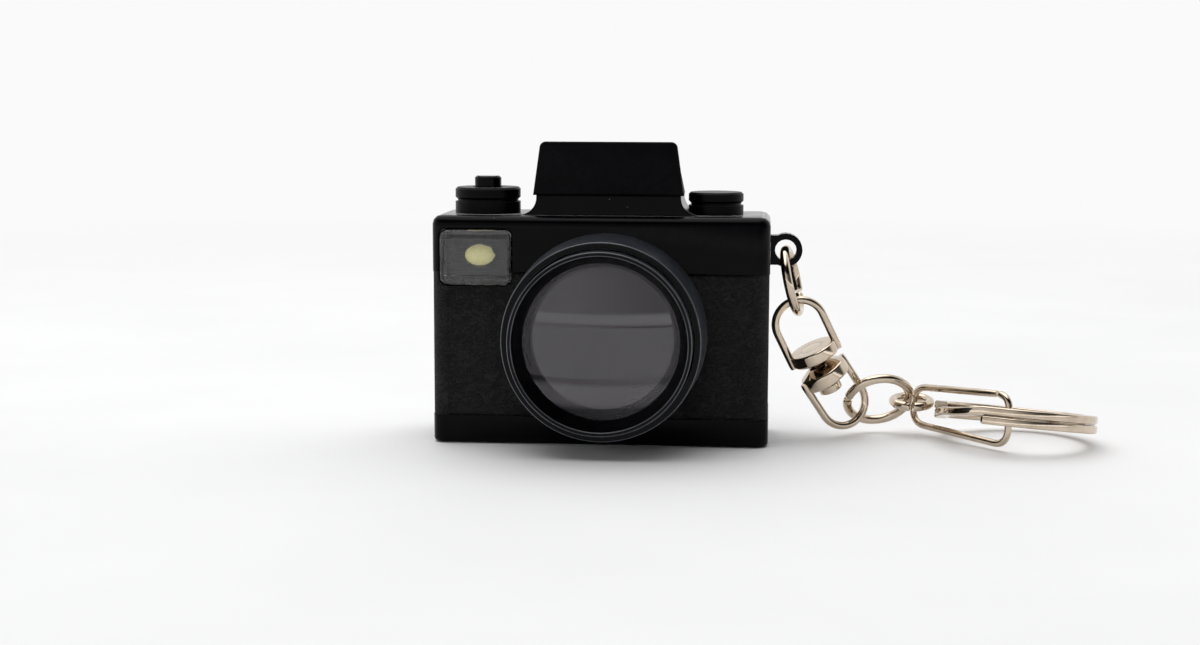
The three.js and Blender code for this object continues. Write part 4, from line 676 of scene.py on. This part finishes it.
# Corners of the turned rivet: radius, distance from the upper arch's middle and fillet
RIVET = [
    (0, 3.5, 0), (1.4, 3.5, 0.02), (1.4, 4.1, 0), (0.75, 4.1, 0), (0.75, 8.85, 0), (1.5, 8.85, 0),
    (1.5, 9.75, 0.25), (0.55, 9.75, 0.1), (0.55, 8.95, 0), (0, 8.95, 0),
]
RIVET_SEGMENTS = 48
rivet = placed(turned(filleted(RIVET), RIVET_SEGMENTS, False), basis(upper_arch, *HANG["upper"]))
piece("swivel_rivet_pin", *rivet, NICKEL, "swivel_upper", "nickel", "swivel_rivet")

LINK_HALF_CUT, LINK_STEPS = 0.225, 12


def link_path():
    """Four straight runs with round bends, the last bend stopping at a narrow cut before the first run."""
    wide, narrow = LINK_WIDE / 2, LINK_NARROW / 2
    corners = [Vector((LINK_LENGTH, wide, 0)), Vector((0, narrow, 0)), Vector((0, -narrow, 0)),
               Vector((LINK_LENGTH, -wide, 0))]

    def toward(i, j):
        return corners[i] + (corners[j] - corners[i]).normalized() * LINK_BEND

    path = [toward(0, 1)]
    last = 1 - LINK_HALF_CUT / LINK_BEND
    for before, here, after, end in ((0, 1, 2, 1.0), (1, 2, 3, 1.0), (2, 3, 0, 1.0), (3, 0, 1, last)):
        entry, bend, leave = toward(here, before), corners[here], toward(here, after)
        path += [path[-1].lerp(entry, k / LINK_STEPS) for k in range(1, LINK_STEPS)]
        for t in [end * k / LINK_STEPS for k in range(LINK_STEPS + 1)]:
            path.append(entry * (1 - t) ** 2 + bend * 2 * t * (1 - t) + leave * t ** 2)
    return path


link = placed(eased(link_path(), round_section(LINK_WIRE)), basis(link_start, *HANG["link"]))
piece("tapered_link_wire", *link, NICKEL, "tapered_link", "nickel", "tapered_link", sharp=CHAIN_SHARP)

STRIP_HEIGHT, STRIP_HALF_WIDTH, STRIP_EDGE, STRIP_GAP = 1.05, 0.85, 0.25, 0.1
STRIP_STEPS, STRIP_EDGE_STEPS = 360, 4
JOG, JOG_START, JOG_EASE = math.radians(62), math.radians(188), 0.6


def split_ring():
    """One flat strip wound nearly twice round, its turns lying closer than the solid's."""
    level = 2 * math.pi - JOG
    sweep = 2 * level + JOG
    path = []
    for k in range(STRIP_STEPS + 1):
        angle = sweep * k / STRIP_STEPS
        share = min(max(2 * (angle - level) / JOG - 1, -1), 1)
        climb = share * abs(share) ** JOG_EASE / 2
        turn = JOG_START + JOG + angle
        rise = (STRIP_HEIGHT + STRIP_GAP) * climb
        path.append((KEY_RADIUS * math.cos(turn), KEY_RADIUS * math.sin(turn), rise))
    across, up = STRIP_HALF_WIDTH, STRIP_HEIGHT / 2
    corners = [(across, -up), (across, up), (-across, up), (-across, -up)]
    return eased(path, filleted([(*corner, STRIP_EDGE) for corner in corners], STRIP_EDGE_STEPS))


key_ring = placed(split_ring(), basis(key_centre, *HANG["key"]))
piece("split_ring_strip", *key_ring, NICKEL, "key_ring", "nickel", "split_key_ring", sharp=CHAIN_SHARP)

# ---------------------------------------------------------------- screws
SCREW_HEAD, SCREW_SHANK, SCREW_HEAD_HEIGHT, SCREW_EASE = 1.3, 0.75, 0.8, 0.1
ARM, ARM_HALF, RECESS = 0.8, 0.17, 0.45
QUARTER_POINTS, FILL_POINTS, CROSS_POINTS = 8, 5, 12


def cross_screw(name, node, facing):
    """A screw in a solid's place, with a cross recess in the head that looks along a direction."""
    solid = NODES[node]
    corners = [solid.matrix_world @ Vector(corner) / MM for corner in solid.bound_box]
    along = Vector(facing)
    reach = [corner.dot(along) for corner in corners]
    middle = sum(corners, Vector()) / len(corners)
    top = middle + along * (max(reach) - middle.dot(along))
    length = max(reach) - min(reach)

    # The rings of the head and the shank have a point across from each corner of the cross
    tip = math.degrees(math.atan2(ARM_HALF, ARM))
    fill = [tip + (90 - 2 * tip) * k / (FILL_POINTS + 1) for k in range(1, FILL_POINTS + 1)]
    turns = [math.radians(90 * q + a) for q in range(4) for a in [-tip, 0, tip] + fill]
    count = len(turns)
    verts, faces = [], []
    for radius, depth in ((SCREW_HEAD - SCREW_EASE, 0), (SCREW_HEAD, SCREW_EASE), (SCREW_HEAD, SCREW_HEAD_HEIGHT),
                          (SCREW_SHANK, SCREW_HEAD_HEIGHT), (SCREW_SHANK, length)):
        here = len(verts)
        above = here - count
        verts += [(-depth, radius * math.cos(turn), radius * math.sin(turn)) for turn in turns]
        if here:
            faces += [[above + (k + 1) % count, above + k, here + k, here + (k + 1) % count] for k in range(count)]
    faces.append(list(range(len(verts) - count, len(verts)))[::-1])

    cross = len(verts)
    for depth in (0, RECESS):
        for q in range(4):
            turn = Matrix.Rotation(math.radians(90 * q), 2)
            for spot in ((ARM, -ARM_HALF), (ARM, ARM_HALF), (ARM_HALF, ARM_HALF)):
                verts.append((-depth, *(turn @ Vector(spot))))
    for q in range(4):
        rim, next_rim = QUARTER_POINTS * q, QUARTER_POINTS * ((q + 1) % 4)
        arm, next_arm = cross + 3 * q, cross + 3 * ((q + 1) % 4)
        faces.append([rim, rim + 1, rim + 2, arm + 1, arm])
        faces.append([*range(rim + 2, rim + QUARTER_POINTS), next_rim, next_arm, arm + 2, arm + 1])
    faces += band(cross, cross + CROSS_POINTS, CROSS_POINTS)
    faces.append(list(range(cross + CROSS_POINTS, cross + 2 * CROSS_POINTS)))
    shape = placed(outward((verts, faces)), basis(top, along, (1, 0, 0)))
    piece(name, *shape, STEEL, "camera", "steel", node)


cross_screw("door_cross_screw", "battery_door_screw", (0, 1, 0))
cross_screw("case_cross_screw_left", "case_screw_left", (0, 0, -1))
cross_screw("case_cross_screw_right", "case_screw_right", (0, 0, -1))

# ---------------------------------------------------------------- stage, light and camera
WHITE = 0.955
FLOOR_REACH_M, FLOOR_DROP_M = 3.0, 0.00005
FADE_FROM, FADE_TO = 110, 420


def floor():
    """A pale floor that keeps the shadow near the object and goes over into the background away from it."""
    mesh = bpy.data.meshes.new("floor")
    r = FLOOR_REACH_M
    mesh.from_pydata([(-r, -r, 0), (r, -r, 0), (r, r, 0), (-r, r, 0)], [], [[0, 1, 2, 3]])
    obj = bpy.data.objects.new("floor", mesh)
    obj.location = (0, 0, -FLOOR_DROP_M)
    bpy.context.scene.collection.objects.link(obj)
    look = Look("pale_floor", Roughness=0.7, Specular_IOR_Level=0.2)
    look.colour(look.tint(look.noise(0.02), (0.9, 0.9, 0.905), (0.93, 0.93, 0.935)))
    away = look.add("ShaderNodeVectorMath", operation="LENGTH")
    look.link(look.space, away.inputs[0])
    white = look.add("ShaderNodeEmission")
    white.inputs["Color"].default_value = (WHITE, WHITE, WHITE, 1)
    mix = look.add("ShaderNodeMixShader")
    path = look.add("ShaderNodeLightPath")
    shown = look.math("MAXIMUM", path.outputs["Is Glossy Ray"], path.outputs["Is Transmission Ray"])
    shown = look.math("MAXIMUM", shown, path.outputs["Is Camera Ray"])
    fade = look.ramp(away.outputs["Value"], FADE_FROM, FADE_TO, 0, 1)
    look.link(look.math("MULTIPLY", fade, shown), mix.inputs[0])
    look.link(look.shader.outputs[0], mix.inputs[1])
    look.link(white.outputs[0], mix.inputs[2])
    look.link(mix.outputs[0], look.nodes["Material Output"].inputs["Surface"])
    mesh.materials.append(look.material)


floor()

# The room's zones by direction: from, to, light before and light after
WALL_X = (-0.5, 0.5, 0.7, 0.08)
WALL_TOP_Z = (0.42, 0.55, 1.0, 0.04)
STRIP_FOOT_Z, STRIP_TOP_Z = (0.0, 0.04, 0.0, 1.5), (0.09, 0.14, 1.0, 0.0)
BACK_LIGHT_Y, BACK_SEEN_Y = (-0.15, 0.4, 0.0, 1.05), (-0.15, 0.4, 0.0, 1.0)
CEILING_Z = (0.8, 0.94, 0.0, 1.3)


def world():
    """A pale room, dimmest between the front wall and the ceiling.

    It is plain white to the camera, and so is its back to reflected and transmitted rays.
    """
    sky = bpy.data.worlds.new("studio")
    bpy.context.scene.world = sky
    sky.use_nodes = True
    nodes, links = sky.node_tree.nodes, sky.node_tree.links
    place = nodes.new("ShaderNodeTexCoord")
    parts = nodes.new("ShaderNodeSeparateXYZ")
    links.new(place.outputs["Generated"], parts.inputs[0])

    def ramp(axis, values):
        node = nodes.new("ShaderNodeMapRange")
        node.interpolation_type = "SMOOTHSTEP"
        for socket, value in zip(("From Min", "From Max", "To Min", "To Max"), values):
            node.inputs[socket].default_value = value
        links.new(parts.outputs[axis], node.inputs["Value"])
        return node.outputs[0]

    def combined(operation, a, b):
        node = nodes.new("ShaderNodeMath")
        node.operation = operation
        links.new(a, node.inputs[0])
        links.new(b, node.inputs[1])
        return node.outputs[0]

    light = combined("MULTIPLY", ramp("X", WALL_X), ramp("Z", WALL_TOP_Z))
    strip = combined("MULTIPLY", ramp("Z", STRIP_FOOT_Z), ramp("Z", STRIP_TOP_Z))
    for zone in (strip, ramp("Y", BACK_LIGHT_Y), ramp("Z", CEILING_Z)):
        light = combined("MAXIMUM", light, zone)
    path = nodes.new("ShaderNodeLightPath")
    shown = combined("MAXIMUM", path.outputs["Is Glossy Ray"], path.outputs["Is Transmission Ray"])
    shown = combined("MULTIPLY", shown, ramp("Y", BACK_SEEN_Y))
    shown = combined("MAXIMUM", path.outputs["Is Camera Ray"], shown)
    seen = nodes.new("ShaderNodeMix")
    seen.data_type = "FLOAT"
    links.new(shown, seen.inputs["Factor"])
    links.new(light, seen.inputs["A"])
    seen.inputs["B"].default_value = WHITE
    links.new(seen.outputs["Result"], nodes["Background"].inputs["Color"])


world()

LAMP_AT, LAMP_AIM, LAMP_SIZE, LAMP_WATTS = (-0.1, 0.06, 0.56), (0.01, 0, 0.01), (0.75, 0.6), 1.65


def lamp():
    """One large softbox overhead, a little to the left and behind."""
    data = bpy.data.lights.new("softbox", "AREA")
    data.shape = "RECTANGLE"
    data.size, data.size_y = LAMP_SIZE
    data.energy = LAMP_WATTS
    obj = bpy.data.objects.new("softbox", data)
    obj.location = LAMP_AT
    obj.rotation_euler = (Vector(LAMP_AIM) - Vector(LAMP_AT)).to_track_quat("-Z", "Y").to_euler()
    bpy.context.scene.collection.objects.link(obj)


lamp()

# The camera fitted to the photograph, in metres and the photograph's pixels
CAMERA_AT, CAMERA_LOOK = (0.02035, -0.23216, 0.04368), (-0.0889, 0.9883, -0.1241)
CAMERA_ROLL = math.radians(0.147)
SENSOR_MM, FOCAL_PX, PHOTO_WIDTH_PX, CLIP_START_M = 36, 1840.7, 1200, 0.01


def camera():
    data = bpy.data.cameras.new("photo_camera")
    data.sensor_width = SENSOR_MM
    data.lens = SENSOR_MM * FOCAL_PX / PHOTO_WIDTH_PX
    data.clip_start = CLIP_START_M
    obj = bpy.data.objects.new("photo_camera", data)
    bpy.context.scene.collection.objects.link(obj)
    look = Vector(CAMERA_LOOK).normalized()
    flat = look.cross(Vector((0, 0, 1))).normalized()
    upright = flat.cross(look)
    right = flat * math.cos(CAMERA_ROLL) + upright * math.sin(CAMERA_ROLL)
    up = upright * math.cos(CAMERA_ROLL) - flat * math.sin(CAMERA_ROLL)
    rows = [(right[i], up[i], -look[i], CAMERA_AT[i]) for i in range(3)]
    obj.matrix_world = Matrix((*rows, (0, 0, 0, 1)))
    bpy.context.scene.camera = obj


camera()
bpy.context.scene.view_settings.view_transform = "Standard"
